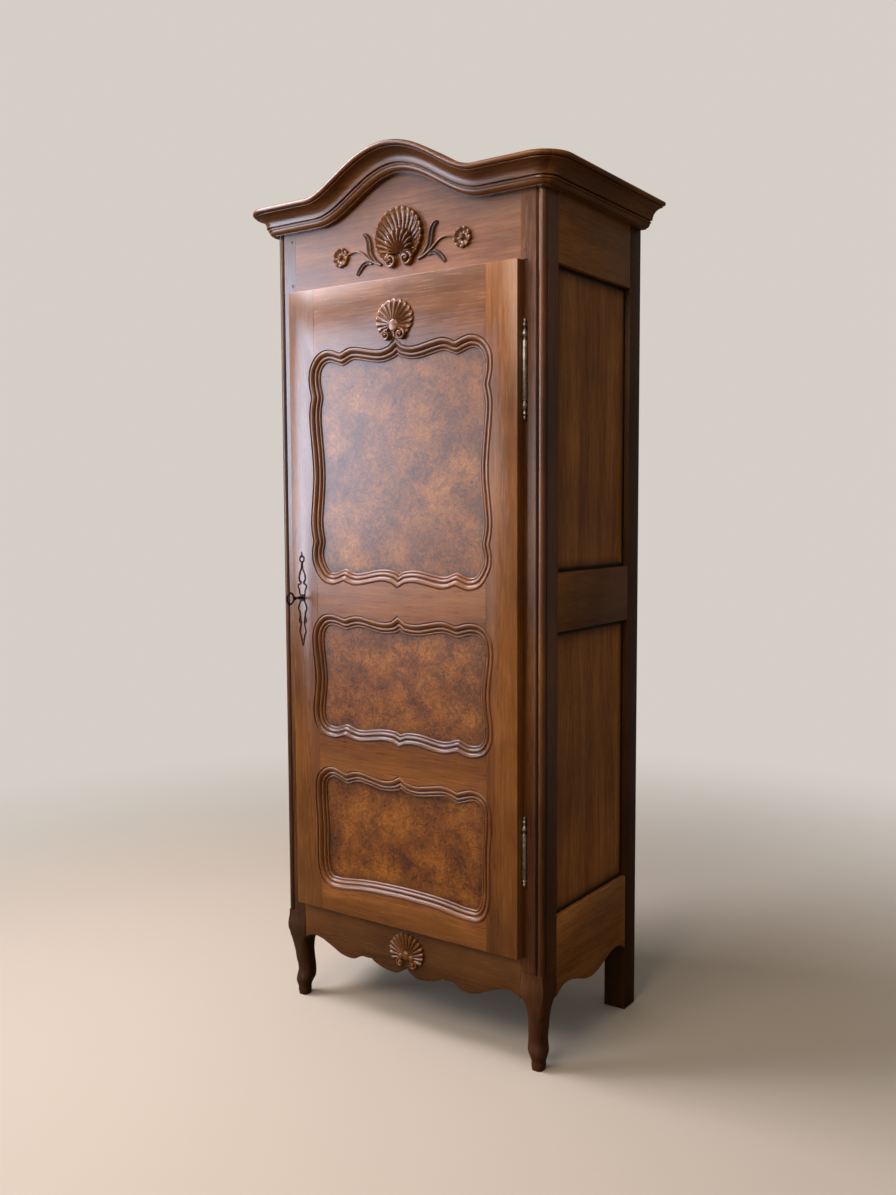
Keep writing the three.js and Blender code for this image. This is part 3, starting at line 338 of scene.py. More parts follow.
def waxedWood(name, look):
    # Planed hardwood under years of wax: grain runs along one axis, pores show as short dark dashes, dirt
    # and painted shade darken the hollows, and the edges are lighter with worn wax and painted highlight.
    material, tree, shader = emptyMaterial(name, look["surface"])
    place, moved, hollow, own = pieceInputs(tree, look["stride"])
    stretch = [1.0 if axis == look["grain"] else look["stretch"] for axis in "xyz"]
    grain = addNode(tree, "Mapping", {"Vector": moved, "Scale": stretch})
    fine = perMetre / look["stretch"]
    wander = addNode(tree, "TexNoise", {"Vector": grain, "Scale": fine / look["figure"], "Detail": 4.0,
                                        "Roughness": 0.55, "Distortion": 0.6})
    streaks = addNode(tree, "TexNoise", {"Vector": grain, "Scale": fine / look["streak"], "Detail": 6.0,
                                         "Roughness": 0.62, "Distortion": 0.2})
    pores = addNode(tree, "TexNoise", {"Vector": grain, "Scale": fine / look["pore"], "Detail": 2.0,
                                       "Roughness": 0.5})
    cloud = addNode(tree, "TexNoise", {"Vector": moved, "Scale": perMetre / look["cloud"], "Detail": 3.0,
                                       "Roughness": 0.5})
    mixed = addNode(tree, "Math", {0: wander, 1: 0.55}, operation="MULTIPLY")
    mixed = addNode(tree, "Math", {0: streaks, 1: 0.45, 2: mixed}, operation="MULTIPLY_ADD")
    colour = addNode(tree, "ValToRGB", {"Fac": mixed}, stops=look["ramp"])
    swing = look["cloudiness"]
    toned = addNode(tree, "MapRange", span(cloud, (0.3, 0.7), (1 - swing, 1 + swing)))
    poreLine = addNode(tree, "MapRange", span(pores, (0.36, 0.46), (look["poreTone"], 1)))
    # Dirt and painted shade darken the hollows and wherever shadeAt laid shade.
    dirtAndShade = addNode(tree, "MapRange", span(hollow, (0.02, look["dirtAndShadeReach"]), (1, look["dirtAndShadeTone"])))
    # Darker towards the floor, below 0.62 m.
    level = addNode(tree, "SeparateXYZ", {0: place}).outputs["Z"]
    lowerDarkening = addNode(tree, "MapRange", span(level, (0.02, 0.62), (look["footTone"], 1)),
                     interpolation_type="SMOOTHSTEP")
    for factor in (poreLine, dirtAndShade, own, lowerDarkening):
        toned = addNode(tree, "Math", {0: toned, 1: factor}, operation="MULTIPLY")
    shaded = addNode(tree, "VectorMath", {0: colour, "Scale": toned}, operation="SCALE")
    # Convex edges turn lighter: worn wax and painted highlight.
    wearAndHighlight = addNode(tree, "MapRange", span(hollow, (-0.06, -0.45), (0, look["wearAndHighlight"])))
    patchy = addNode(tree, "Math", {0: wearAndHighlight, 1: cloud}, operation="MULTIPLY")
    worn = addNode(tree, "Mix", {0: patchy, 6: shaded, 7: linear(look["wornAndHighlightColour"])}, data_type="RGBA")
    rough = addNode(tree, "MapRange", span(streaks, (0.3, 0.7), look["roughness"]))
    dull = addNode(tree, "MapRange", span(hollow, (0.05, 0.5), (0, 0.25)))
    polish = addNode(tree, "MapRange", span(hollow, (-0.03, -0.2), (0, -0.12)))
    for change in (dull, polish):
        rough = addNode(tree, "Math", {0: rough, 1: change}, operation="ADD", use_clamp=True)
    height = addNode(tree, "Math", {0: streaks, 1: 0.35, 2: poreLine}, operation="MULTIPLY_ADD")
    bump = addNode(tree, "Bump", {"Height": height, "Strength": look["relief"], "Distance": 0.4 * mm})
    setInputs(tree, shader, {"Base Color": worn.outputs[2], "Roughness": rough, "Normal": bump})
    return material


walnutLook = {
    "stride": (0.731, 0.417, 0.913),
    "grain": "z", "stretch": 16.0, "figure": 60.0, "streak": 5.0, "pore": 1.5, "cloud": 230.0,
    "ramp": [(0.3, "#532a0f"), (0.43, "#7a4318"), (0.55, "#925625"), (0.7, "#a86b34")],
    "cloudiness": 0.3, "poreTone": 0.8, "dirtAndShadeReach": 0.15, "dirtAndShadeTone": 0.06, "wearAndHighlight": 0.6, "footTone": 0.62,
    "wornAndHighlightColour": "#a8703a", "roughness": (0.3, 0.42), "relief": 0.2,
    "surface": {"IOR": 1.45, "Specular IOR Level": 0.5, "Coat Weight": 0.3, "Coat Roughness": 0.24},
}
# The sides' copy of the walnut: its ramp is lighter than the front's, painted light for sides the lamps
# leave dim, under less gloss.
sideLook = {
    **walnutLook, "ramp": [(0.3, "#6a3e1c"), (0.43, "#935a2a"), (0.55, "#ae7038"), (0.7, "#c28648")],
    "cloudiness": 0.22, "roughness": (0.42, 0.55),
    "surface": {"IOR": 1.45, "Specular IOR Level": 0.25, "Coat Weight": 0.05, "Coat Roughness": 0.4},
}
burrLook = {
    "stride": (0.31, 0.17, 0.53),
    "ramp": [(0.3, "#3a1c08"), (0.41, "#744013"), (0.5, "#9a5e20"), (0.59, "#b8782c"), (0.7, "#cc9244")],
    "lines": [(0.0, 0.55), (0.5, 1.0), (1.0, 0.78)],
    "blotches": [(0.32, "#c3afae"), (0.45, "#dccbbd"), (0.56, "#f0dfc8"), (0.68, "#fff0d2")],
    "curl": 22.0, "swirl": 48.0, "wool": 6.5, "cloud": 95.0, "knot": 15.0, "turns": 9.0, "blotch": 60.0,
    "roughness": (0.36, 0.48), "relief": 0.2,
    "surface": {"IOR": 1.45, "Specular IOR Level": 0.5, "Coat Weight": 0.35, "Coat Roughness": 0.24},
}
# The carving's copy: darker painted shade in its grooves, and a stronger painted highlight with worn wax on
# its ridges.
carvedLook = {
    **walnutLook, "grain": "x", "dirtAndShadeReach": 0.12, "wearAndHighlight": 0.9, "roughness": (0.24, 0.34),
    "surface": {"IOR": 1.45, "Specular IOR Level": 0.5, "Coat Weight": 0.4, "Coat Roughness": 0.2},
}
bareLook = {
    **walnutLook, "streak": 9.0, "pore": 2.2, "cloud": 300.0,
    "ramp": [(0.28, "#5d4128"), (0.42, "#7a5836"), (0.56, "#906c45"), (0.72, "#a48157")],
    "cloudiness": 0.12, "poreTone": 0.86, "dirtAndShadeReach": 0.4, "dirtAndShadeTone": 0.5, "wearAndHighlight": 0.2, "footTone": 0.9,
    "wornAndHighlightColour": "#b3946a", "roughness": (0.62, 0.78), "relief": 0.5,
    "surface": {"IOR": 1.46, "Specular IOR Level": 0.4},
}


def burrVeneer(name, look):
    # Burr walnut: curled fibres flow round clusters of dark pin knots, with cloudy light and dark patches
    # under the same wax.
    material, tree, shader = emptyMaterial(name, look["surface"])
    _, moved, hollow, own = pieceInputs(tree, look["stride"])
    bend = addNode(tree, "TexNoise", {"Vector": moved, "Scale": perMetre / look["curl"], "Detail": 2.0})
    reach = (look["curl"] / perMetre,) * 3
    push = addNode(tree, "VectorMath", {0: bend.outputs["Color"], 1: reach, 2: moved},
                   operation="MULTIPLY_ADD")
    swirl = addNode(tree, "TexNoise", {"Vector": push, "Scale": perMetre / look["swirl"], "Detail": 2.0,
                                       "Distortion": 0.8})
    turned = addNode(tree, "Math", {0: swirl, 1: look["turns"]}, operation="MULTIPLY")
    saw = addNode(tree, "Math", {0: turned, 1: 1.0}, operation="PINGPONG")
    lines = addNode(tree, "ValToRGB", {"Fac": saw}, stops=look["lines"])
    wool = addNode(tree, "TexNoise", {"Vector": push, "Scale": perMetre / look["wool"], "Detail": 6.0,
                                      "Roughness": 0.7, "Distortion": 1.2})
    cloud = addNode(tree, "TexNoise", {"Vector": push, "Scale": perMetre / look["cloud"], "Detail": 4.0,
                                       "Roughness": 0.6})
    base = addNode(tree, "Math", {0: wool, 1: 0.6}, operation="MULTIPLY")
    base = addNode(tree, "Math", {0: cloud, 1: 0.4, 2: base}, operation="MULTIPLY_ADD")
    colour = addNode(tree, "ValToRGB", {"Fac": base}, stops=look["ramp"])
    knots = addNode(tree, "TexVoronoi", {"Vector": push, "Scale": perMetre / look["knot"]})
    eye = addNode(tree, "MapRange", span(knots, (0.07, 0.19), (0.12, 1)))
    groups = addNode(tree, "MapRange", span(cloud, (0.5, 0.62)))
    eye = addNode(tree, "Math", {0: eye, 1: groups}, operation="MAXIMUM")
    # Dirt and painted shade darken the hollows and the rim along the moulding.
    dirtAndShade = addNode(tree, "MapRange", span(hollow, (0, 1), (1, 0.3)))
    tone = lines
    for factor in (eye, dirtAndShade, own):
        tone = addNode(tree, "Math", {0: tone, 1: factor}, operation="MULTIPLY")
    patches = addNode(tree, "TexNoise", {"Vector": push, "Scale": perMetre / look["blotch"], "Detail": 3.0,
                                         "Roughness": 0.55, "Distortion": 0.4})
    stain = addNode(tree, "ValToRGB", {"Fac": patches}, stops=look["blotches"])
    stained = addNode(tree, "VectorMath", {0: colour, 1: stain}, operation="MULTIPLY")
    shaded = addNode(tree, "VectorMath", {0: stained, "Scale": tone}, operation="SCALE")
    rough = addNode(tree, "MapRange", span(wool, (0.3, 0.7), look["roughness"]))
    bump = addNode(tree, "Bump", {"Height": base, "Strength": look["relief"], "Distance": 0.6 * mm})
    setInputs(tree, shader, {"Base Color": shaded, "Roughness": rough, "Normal": bump})
    return material


def forgedMetal(name, look):
    # Hand-worked metal: broad hammer tone, brown patina in patches, brighter in others.
    material, tree, shader = emptyMaterial(name, {"Metallic": look["metallic"]})
    place = addNode(tree, "TexCoord").outputs["Object"]
    patina = addNode(tree, "TexNoise", {"Vector": place, "Scale": perMetre / look["patch"], "Detail": 5.0,
                                        "Roughness": 0.6})
    grain = addNode(tree, "TexNoise", {"Vector": place, "Scale": perMetre / look["grit"], "Detail": 3.0})
    colour = addNode(tree, "ValToRGB", {"Fac": patina}, stops=look["ramp"])
    rough = addNode(tree, "MapRange", span(patina, (0.3, 0.7), look["roughness"]))
    bump = addNode(tree, "Bump", {"Height": grain, "Strength": look["relief"], "Distance": 0.3 * mm})
    setInputs(tree, shader, {"Base Color": colour, "Roughness": rough, "Normal": bump})
    return material


steelLook = {"metallic": 0.9, "patch": 16.0, "grit": 1.4, "relief": 0.25, "roughness": (0.32, 0.5),
             "ramp": [(0.3, "#7a6a58"), (0.45, "#a89c8c"), (0.62, "#cfc6b8")]}
ironLook = {"metallic": 0.75, "patch": 9.0, "grit": 1.0, "relief": 0.4, "roughness": (0.42, 0.6),
            "ramp": [(0.3, "#17120f"), (0.5, "#241d19"), (0.7, "#3a2c22")]}

finishes = {
    "upright": waxedWood("waxed walnut, grain upright", walnutLook),
    "level": waxedWood("waxed walnut, grain level", {**walnutLook, "grain": "x"}),
    "carved": waxedWood("waxed walnut carving, worn ridges with painted highlight", carvedLook),
    "sideUpright": waxedWood("side walnut with painted light, grain upright", sideLook),
    "sideLevel": waxedWood("side walnut with painted light, grain front to back", {**sideLook, "grain": "y"}),
    "sideAcross": waxedWood("side walnut with painted light, grain across", {**sideLook, "grain": "x"}),
    "burr": burrVeneer("waxed burr walnut", burrLook),
    "bareUpright": waxedWood("bare poplar, grain upright", bareLook),
    "bareLevel": waxedWood("bare poplar, grain level", {**bareLook, "grain": "x"}),
    "steel": forgedMetal("worn turned steel", steelLook),
    "iron": forgedMetal("blackened wrought iron", ironLook),
}
print("finishes ready")


# Boards that are plain blocks with eased edges, each as long as it shows between its neighbours

def board(node, low, high, finish, slot, ease, tone=1.0):
    bm = bmesh.new()
    block(bm, low, high)
    bevelEdges(bm, bm.edges, ease)
    finishPiece(bm, node + "_board_face", finish, slot=slot, stands=[node], tone=tone)


def easedCopy(node, finish, slot, ease):
    bm = bmesh.new()
    bm.from_mesh(frame["nodes"][node].data)
    bmesh.ops.transform(bm, matrix=fromFrame, verts=bm.verts)
    bmesh.ops.remove_doubles(bm, verts=bm.verts, dist=weld)
    bmesh.ops.dissolve_limit(bm, angle_limit=math.radians(1), verts=bm.verts, edges=bm.edges)
    bevelEdges(bm, sharpEdges(bm), ease)
    finishPiece(bm, node + "_eased", finish, slot=slot, stands=[node])


def innerBoards():
    look = {"shelfEase": 1.0, "cleatEase": 1.5, "boardEase": 1.2, "count": 4, "tongue": 6, "seam": 0.5}
    for node in ("floor_board", "top_board", "shelf_lower", "shelf_middle", "shelf_upper"):
        easedCopy(node, "bareLevel", "inner_wood", look["shelfEase"])
    for side in ("left", "right"):
        for level in ("lower", "middle", "upper"):
            node = f"cleat_{level}_{side}"
            board(node, *boxOf(node), "bareLevel", "inner_wood", look["cleatEase"])
    half = body["postInner"] - body["gap"]
    for node in ("back_top_rail", "back_bottom_rail"):
        low, high = boxOf(node)
        board(node, (-half, low.y, low.z), (half, high.y, high.z), "bareLevel", "inner_wood",
              look["boardEase"])
    for k in range(look["count"]):
        node = f"back_board_{k + 1}"
        low, high = boxOf(node)
        low.x += look["seam"]
        high.x -= look["tongue"] if k < look["count"] - 1 else 0
        board(node, low, high, "bareUpright", "inner_wood", look["boardEase"])
    print("inner boards ready")


def sideBoards():
    look = {"railEase": 1.0, "postEase": 1.6, "tones": {"top": 1.0, "middle": 0.62, "post": 0.16}}
    y0, y1 = body["postDepth"] + body["gap"], body["rearFront"] - body["gap"]
    for side in ("left", "right"):
        for rail in ("top", "middle"):
            node = f"side_{rail}_rail_{side}"
            low, high = boxOf(node)
            low.y, high.y = y0, y1
            board(node, low, high, "sideLevel", "side_walnut", look["railEase"], look["tones"][rail])
        for panel in ("upper", "lower"):
            shadedPanel(f"side_{panel}_panel_{side}", y0, y1)
        sideApron(side, y0, y1)
        node = f"rear_post_{side}"
        board(node, *boxOf(node), "sideUpright", "side_walnut", look["postEase"], look["tones"]["post"])
    print("sides ready")


def shadedPanel(node, y0, y1):
    # A side panel darkened towards the frame that holds it, with dirt and painted shade.
    look = {"cell": 12, "groove": 10, "reach": 14, "dirtAndShade": 0.22, "tone": 1.4}
    low, high = boxOf(node)
    bm = bmesh.new()
    block(bm, low, high)
    sliceEvenly(bm, low, high, (1, 2), look["cell"])

    def shadeAt(mesh):
        z0, z1 = low.z + look["groove"], high.z - look["groove"]
        edges = [min(p.y - y0, y1 - p.y, p.z - z0, z1 - p.z) for p in placesOf(mesh)]
        return look["dirtAndShade"] * np.exp(-np.maximum(edges, 0) / look["reach"])

    finishPiece(bm, node + "_board_face", "sideUpright", slot="side_walnut", stands=[node],
                tone=look["tone"], shadeAt=shadeAt)


def sideApron(side, y0, y1):
    # A scalloped rail: it hangs lowest in the middle and arches up beside each post.
    # The rail's high tone is painted light.
    look = {"arch": 189, "drop": 31, "spacing": 4, "ease": 1.0, "sharp": 50, "tone": 1.7,
            "shares": [(0, 1), (0.2, 0.82), (0.42, 0.36), (0.6, 0.07), (0.74, 0), (0.87, 0.15), (1, 0.6)]}
    node = f"side_bottom_rail_{side}"
    low, high = boxOf(node)
    middle = (y0 + y1) / 2
    points = [(middle + u * (y1 - middle), look["arch"] - look["drop"] * v, 0) for u, v in look["shares"]]
    rear = curveThrough(points, look["spacing"])
    front = [Vector((2 * middle - p.x, p.y, 0)) for p in reversed(rear[1:])]
    outline = [(p.x, p.y) for p in front + rear] + [(y1, high.z), (y0, high.z)]
    bm = bmesh.new()
    inner, outer = sorted((low.x, high.x), key=abs)
    skin(bm, [[(x, y, z) for y, z in outline] for x in (inner, outer)])
    bevelEdges(bm, sharpEdges(bm, look["sharp"]), look["ease"])
    finishPiece(bm, node + "_scalloped", "sideLevel", slot="side_walnut", stands=[node], tone=look["tone"])


# Front posts with their beads, grooves and cabriole legs

postLook = {
    "bead": 8.8, "groove": 3, "beadStart": 30, "beadEnd": 240, "beadSteps": 22, "edge": 0.6,
    "grooveEnd": 232, "grooveFade": 16,
    "grooveDepths": [(0, 0), (0.15, 0.35), (0.4, 0.7), (0.7, 0.93), (1, 1)],
    "rabbetReach": {"left": 6, "right": 17.5}, "leastReach": 0.5, "doorLevels": 6, "sliver": 0.01,
    "strikeDepth": 16, "near": 0.1, "sharp": 40, "tones": {"left": 0.4, "right": 0.6},
    "legHeight": 240,
    "legShares": [
        (1, 0, 1), (0.94, -0.01, 1), (0.85, -0.05, 1), (0.78, -0.045, 1), (0.74, -0.02, 0.98),
        (0.7, 0, 0.91), (0.66, 0.03, 0.86), (0.62, 0.05, 0.84), (0.53, 0.09, 0.84), (0.43, 0.13, 0.86),
        (0.35, 0.18, 0.88), (0.29, 0.19, 0.89), (0.24, 0.16, 0.89), (0.2, 0.13, 0.87), (0.16, 0.13, 0.8),
        (0.12, 0.17, 0.74), (0.083, 0.21, 0.71), (0.06, 0.2, 0.72), (0, 0.23, 0.7)],
    "legSpacing": 1.4, "legCornerSteps": 7, "legRound": 0.34, "legTopRound": 0.05, "roundStart": 0.8,
    "roundFade": 0.28,
}


def postSection(openness, rabbet, z):
    # The grooves beside the bead are cut to a share of their depth; the rabbet's reach is in millimetres.
    look = postLook
    bead, half, inner, edge = look["bead"], body["half"], body["postInner"], look["edge"]
    flat = 2 * bead + look["groove"]
    rabbetDepth = door["rabbet"] if rabbet else 0
    shoulder = inner + max(rabbet, look["leastReach"])
    strikeFront, strikeRear = strikeSpan(1)
    points = [(inner, rabbetDepth), (shoulder, rabbetDepth), (shoulder, 0)]
    points += [(half - flat - edge, 0), (half - flat, edge * openness)]
    sweepAngle = look["beadEnd"] - look["beadStart"]
    for k in range(look["beadSteps"] + 1):
        angle = math.radians(look["beadStart"] + sweepAngle * k / look["beadSteps"])
        u, v = bead + bead * math.cos(angle), bead - bead * math.sin(angle)
        if angle < math.pi / 2:
            v *= openness
        if angle > math.pi:
            u *= openness
        points.append((half - u, v))
    points += [(half - edge * openness, flat), (half, flat + edge)]
    points += [(half, body["postDepth"]), (inner, body["postDepth"])]
    points += [(inner, strikeRear), (inner, strikeFront)]
    return [(x, y, z) for x, y in points]


def strikeSpan(axis):
    low, high = boxOf("strike_plate")
    return low[axis] - body["gap"], high[axis] + body["gap"]


def sinkStrike(bm):
    # The recess that the strike plate closes and the bolt slides into.
    (front, rear), (bottom, top) = strikeSpan(1), strikeSpan(2)
    hole = []
    for face in bm.faces:
        middle = face.calc_center_median()
        onInnerSide = abs(middle.x - body["postInner"]) < postLook["near"]
        if onInnerSide and front < middle.y < rear and bottom < middle.z < top:
            hole.append(face)
    sunk = bmesh.ops.extrude_face_region(bm, geom=hole)["geom"]
    bmesh.ops.translate(bm, verts=[v for v in sunk if isinstance(v, bmesh.types.BMVert)],
                        vec=(postLook["strikeDepth"], 0, 0))
    bmesh.ops.delete(bm, geom=[face for face in hole if face.is_valid], context="FACES")


def legRing(heightShare, outerShare, innerShare):
    look = postLook
    width = body["half"] - body["postInner"]
    low, size = outerShare * width, (innerShare - outerShare) * width
    ease = min(1, max(0, (look["roundStart"] - heightShare) / look["roundFade"]))
    corner = size * (look["legTopRound"] + (look["legRound"] - look["legTopRound"]) * ease)
    deeper = body["postDepth"] / width
    ring = []
    for quarter in range(4):
        u = low + (corner if quarter in (1, 2) else size - corner)
        v = low + (size - corner if quarter < 2 else corner)
        for k in range(look["legCornerSteps"] + 1):
            angle = math.pi / 2 * (quarter + k / look["legCornerSteps"])
            x = body["half"] - (u + corner * math.cos(angle))
            ring.append((x, (v + corner * math.sin(angle)) * deeper, heightShare * look["legHeight"]))
    return ring


def frontPost(side):
    look = postLook
    bm = bmesh.new()
    reach, sliver, steps = look["rabbetReach"][side], look["sliver"], look["doorLevels"]
    end, fade = look["grooveEnd"], look["grooveFade"]
    levels = [(end + share * fade, depth, 0) for share, depth in look["grooveDepths"]]
    bottom, top = door["bottom"] - door["clearance"], door["top"] + door["clearance"]
    levels += [(bottom, 1, 0), (bottom + sliver, 1, reach)]
    levels += [(bottom + (top - bottom) * k / steps, 1, reach) for k in range(1, steps)]
    levels += [(top, 1, reach), (top + sliver, 1, 0), (body["top"], 1, 0)]
    if side == "left":
        levels = sorted(levels + [(z, 1, reach) for z in strikeSpan(2)])
    skin(bm, [postSection(openness, rabbet, z) for z, openness, rabbet in levels])
    if side == "left":
        sinkStrike(bm)
    # The leg's shares are drawn as a curve a hundred units tall, on which its spacing is measured.
    points = [(a * 100, b * 100, c * 100) for a, b, c in look["legShares"]]
    skin(bm, [legRing(*(p / 100)) for p in curveThrough(points, look["legSpacing"])])
    if side == "left":
        bmesh.ops.scale(bm, verts=bm.verts, vec=(-1, 1, 1))
    finishPiece(bm, f"front_post_{side}_beaded", "upright", stands=[f"front_post_{side}"],
                sharp=look["sharp"], tone=look["tones"][side])


# Cornice: its section from the underside up, run along the arch and round the corners

corniceLook = {
    "base": 14, "fascia": 2, "ovolo": 11, "filletStep": 3, "filletHeight": 4, "quirkStep": 4,
    "quirkHeight": 3, "cove": 27, "crownStep": 3, "roll": 6, "sunk": 2.5, "edge": 0.6,
    "crownLine": [(-1.5, 0), (-1.5, 1), (-4, 1.6), (-4, 2.7)],
    "arcSteps": 8, "coveSteps": 12, "rise": 94, "reach": 250, "crestSteps": 120, "cornerSteps": 10,
    "returnSteps": 8, "sharp": 28, "tones": {"front": 0.72, "side": 0.75},
}


def corniceSection():
    look = corniceLook
    quarter = math.pi / 2
    edge, steps = look["edge"], look["arcSteps"]
    ovoloTop = (look["base"] + look["ovolo"], look["fascia"] + look["ovolo"])
    fillet = (ovoloTop[0] + look["filletStep"], ovoloTop[1] + look["filletHeight"])
    quirk = (fillet[0] + look["quirkStep"], fillet[1] + look["quirkHeight"])
    coveTop = (quirk[0] + look["cove"], quirk[1] + look["cove"])
    crown = (coveTop[0] + look["crownStep"], coveTop[1] + look["crownStep"])
    sunk = fillet[0] - look["sunk"]
    points = [(body["gap"], 0), (look["base"], 0)]
    points += arc(look["base"], ovoloTop[1], look["ovolo"], -quarter, 0, steps)
    points += [(fillet[0] - edge, ovoloTop[1]), (fillet[0], ovoloTop[1] + edge), fillet]
    points += [(sunk, fillet[1] + edge), (sunk, quirk[1] - edge)]
    points += arc(coveTop[0], quirk[1], look["cove"], 2 * quarter, quarter, look["coveSteps"])
    points += [(crown[0] + u, coveTop[1] + v) for u, v in look["crownLine"]]
    points += arc(crown[0], crown[1] + look["roll"], look["roll"], -quarter, quarter, steps)
    points.append((body["gap"], crown[1] + 2 * look["roll"]))
    return points


def crestAt(x):
    rise, reach = corniceLook["rise"], corniceLook["reach"]
    if abs(x) >= reach:
        return 0, 0
    slope = -rise * math.pi * math.sin(math.pi * x / reach) / (2 * reach)
    return rise * (1 + math.cos(math.pi * x / reach)) / 2, math.atan(slope)


def corniceRing(x, y, z, facing, tilt=0):
    out = Vector((math.sin(facing), -math.cos(facing), 0))
    up = Vector((-math.sin(tilt), 0, math.cos(tilt)))
    foot = Vector((x, y, z))
    return [foot + out * p + up * q for p, q in corniceSection()]


def cornerRing(side, facing, slip=0):
    bead = postLook["bead"]
    x = side * (body["half"] - bead) + bead * math.sin(facing) + slip * math.cos(facing)
    y = bead - bead * math.cos(facing) + slip * math.sin(facing)
    return corniceRing(x, y, body["corniceBase"], facing)


def cornices():
    look = corniceLook
    steps, base = look["cornerSteps"], body["corniceBase"]
    straight = body["half"] - postLook["bead"]
    between = (straight + look["reach"]) / 2
    slip = body["gap"] / 2
    turns = [math.pi / 4 * k / steps for k in range(1, steps + 1)]
    rings = [cornerRing(-1, -turn, slip if turn == turns[-1] else 0) for turn in reversed(turns)]
    rings += [corniceRing(x, 0, base, 0) for x in (-straight, -between)]
    for k in range(look["crestSteps"] + 1):
        x = look["reach"] * (2 * k / look["crestSteps"] - 1)
        lift, tilt = crestAt(x)
        rings.append(corniceRing(x, 0, base + lift, 0, tilt))
    rings += [corniceRing(x, 0, base, 0) for x in (between, straight)]
    rings += [cornerRing(1, turn, -slip if turn == turns[-1] else 0) for turn in turns]
    bm = bmesh.new()
    skin(bm, rings)
    finishPiece(bm, "cornice_front_moulding", "level", stands=["cornice_front"],
                sharp=look["sharp"], tone=look["tones"]["front"])
    for side in ("left", "right"):
        rings = [cornerRing(1, math.pi / 4 + turn, 0 if turn else slip) for turn in [0] + turns]
        steps, length = look["returnSteps"], body["depth"] - body["postDepth"]
        ends = [body["postDepth"] + length * k / steps for k in range(steps + 1)]
        rings += [corniceRing(body["half"], y, base, math.pi / 2) for y in ends]
        bm = bmesh.new()
        skin(bm, rings)
        if side == "left":
            bmesh.ops.scale(bm, verts=bm.verts, vec=(-1, 1, 1))
        node = f"cornice_{side}"
        finishPiece(bm, node + "_moulding", "sideLevel", slot="side_walnut", stands=[node],
                    sharp=look["sharp"], tone=look["tones"]["side"])
    print("cornice ready")


# Face rails

def friezeRail():
    look = {"thickness": 28, "archSpacing": 5, "sliver": 0.01, "cell": 14, "corniceShadow": 0.2, "corniceShadowReach": 45,
            "tone": 0.85}
    half, top, cell = body["postInner"] - body["gap"], body["top"], look["cell"]
    openingTop = door["top"] - door["rabbet"]
    reach = corniceLook["reach"]
    steps = round(2 * reach / look["archSpacing"])
    spots = [reach * (1 - 2 * k / steps) for k in range(steps + 1)]
    arch = [(x, top + crestAt(x)[0]) for x in spots]

    def ring(y, bottom):
        outline = [(-half, bottom), (half, bottom), (half, top), *arch, (-half, top)]
        return [(x, y, z) for x, z in outline]

    bm = bmesh.new()
    lip = door["top"] + door["clearance"]
    skin(bm, [ring(0, lip), ring(door["rabbet"], lip), ring(door["rabbet"] + look["sliver"], openingTop),
              ring(look["thickness"], openingTop)])
    rows, columns = round((top + corniceLook["rise"] - lip) / cell), round(2 * half / cell)
    sliceAt(bm, 2, [lip + k * cell for k in range(1, rows)])
    sliceAt(bm, 0, [k * cell - half for k in range(1, columns)])

    def shadeAt(mesh):
        # Painted shadow under the cornice, darkest at its edge.
        under = np.array([top + crestAt(p.x)[0] - p.z for p in placesOf(mesh)])
        return look["corniceShadow"] * np.exp(-under / look["corniceShadowReach"])

    finishPiece(bm, "frieze_rail_board", "level", stands=["frieze_rail"], tone=look["tone"],
                shadeAt=shadeAt)


apronLook = {
    "arch": 187, "drop": 39, "thickness": 28, "spacing": 3, "sliver": 0.01, "ease": 1.2, "tone": 0.6,
    "stretches": [
        [(0, 0.44), (0.035, 0.74), (0.085, 0.97), (0.145, 1), (0.22, 0.9), (0.29, 0.72), (0.335, 0.5)],
        [(0.335, 0.5), (0.36, 0.54), (0.42, 0.54), (0.455, 0.66)],
        [(0.455, 0.66), (0.5, 0.87), (0.565, 0.9), (0.64, 0.78), (0.74, 0.4), (0.83, 0.1), (0.9, 0),
         (0.955, 0.08), (1, 0.3)]],
}


def apronRail():
    look = apronLook
    half = body["postInner"] - body["gap"]
    right = []
    for stretch in look["stretches"]:
        points = [(u * half, 0, look["arch"] - look["drop"] * v) for u, v in stretch]
        right += smoothCurve(points, look["spacing"])
    right.append(Vector(points[-1]))
    left = [Vector((-p.x, 0, p.z)) for p in reversed(right[1:])]
    lower = [(p.x, p.z) for p in left + right]
    lip, top = door["bottom"] - door["clearance"], door["bottom"] + door["rabbet"]

    def ring(y, level):
        return [(x, y, z) for x, z in lower + [(half, level), (-half, level)]]

    bm = bmesh.new()
    loops = skin(bm, [ring(0, lip), ring(door["rabbet"], lip), ring(door["rabbet"] + look["sliver"], top),
                      ring(look["thickness"], top)])
    frontEdges = loops[0][1][:len(lower) - 1]
    bevelEdges(bm, [e for e in frontEdges if e.is_valid], look["ease"])
    finishPiece(bm, "apron_rail_board", "level", stands=["apron_rail"], tone=look["tone"])
    print("face rails ready")


# Carving in relief: bars swept along paths, and shaped sheets whose rims are drawn back into the wood

def closeBack(bm, verts, depth):
    faces = {face for vert in verts for face in vert.link_faces}
    rim = list({e for face in faces for e in face.edges if len(e.link_faces) == 1})
    drawn = bmesh.ops.extrude_edge_only(bm, edges=rim)["geom"]
    backEdges = [item for item in drawn if isinstance(item, bmesh.types.BMEdge)]
    for vert in {vert for edge in backEdges for vert in edge.verts}:
        vert.co.y = depth
    bmesh.ops.holes_fill(bm, edges=backEdges, sides=0)


fanForm = {"rimStart": 0.9, "leastHeight": 0.4, "ribColumns": 8}


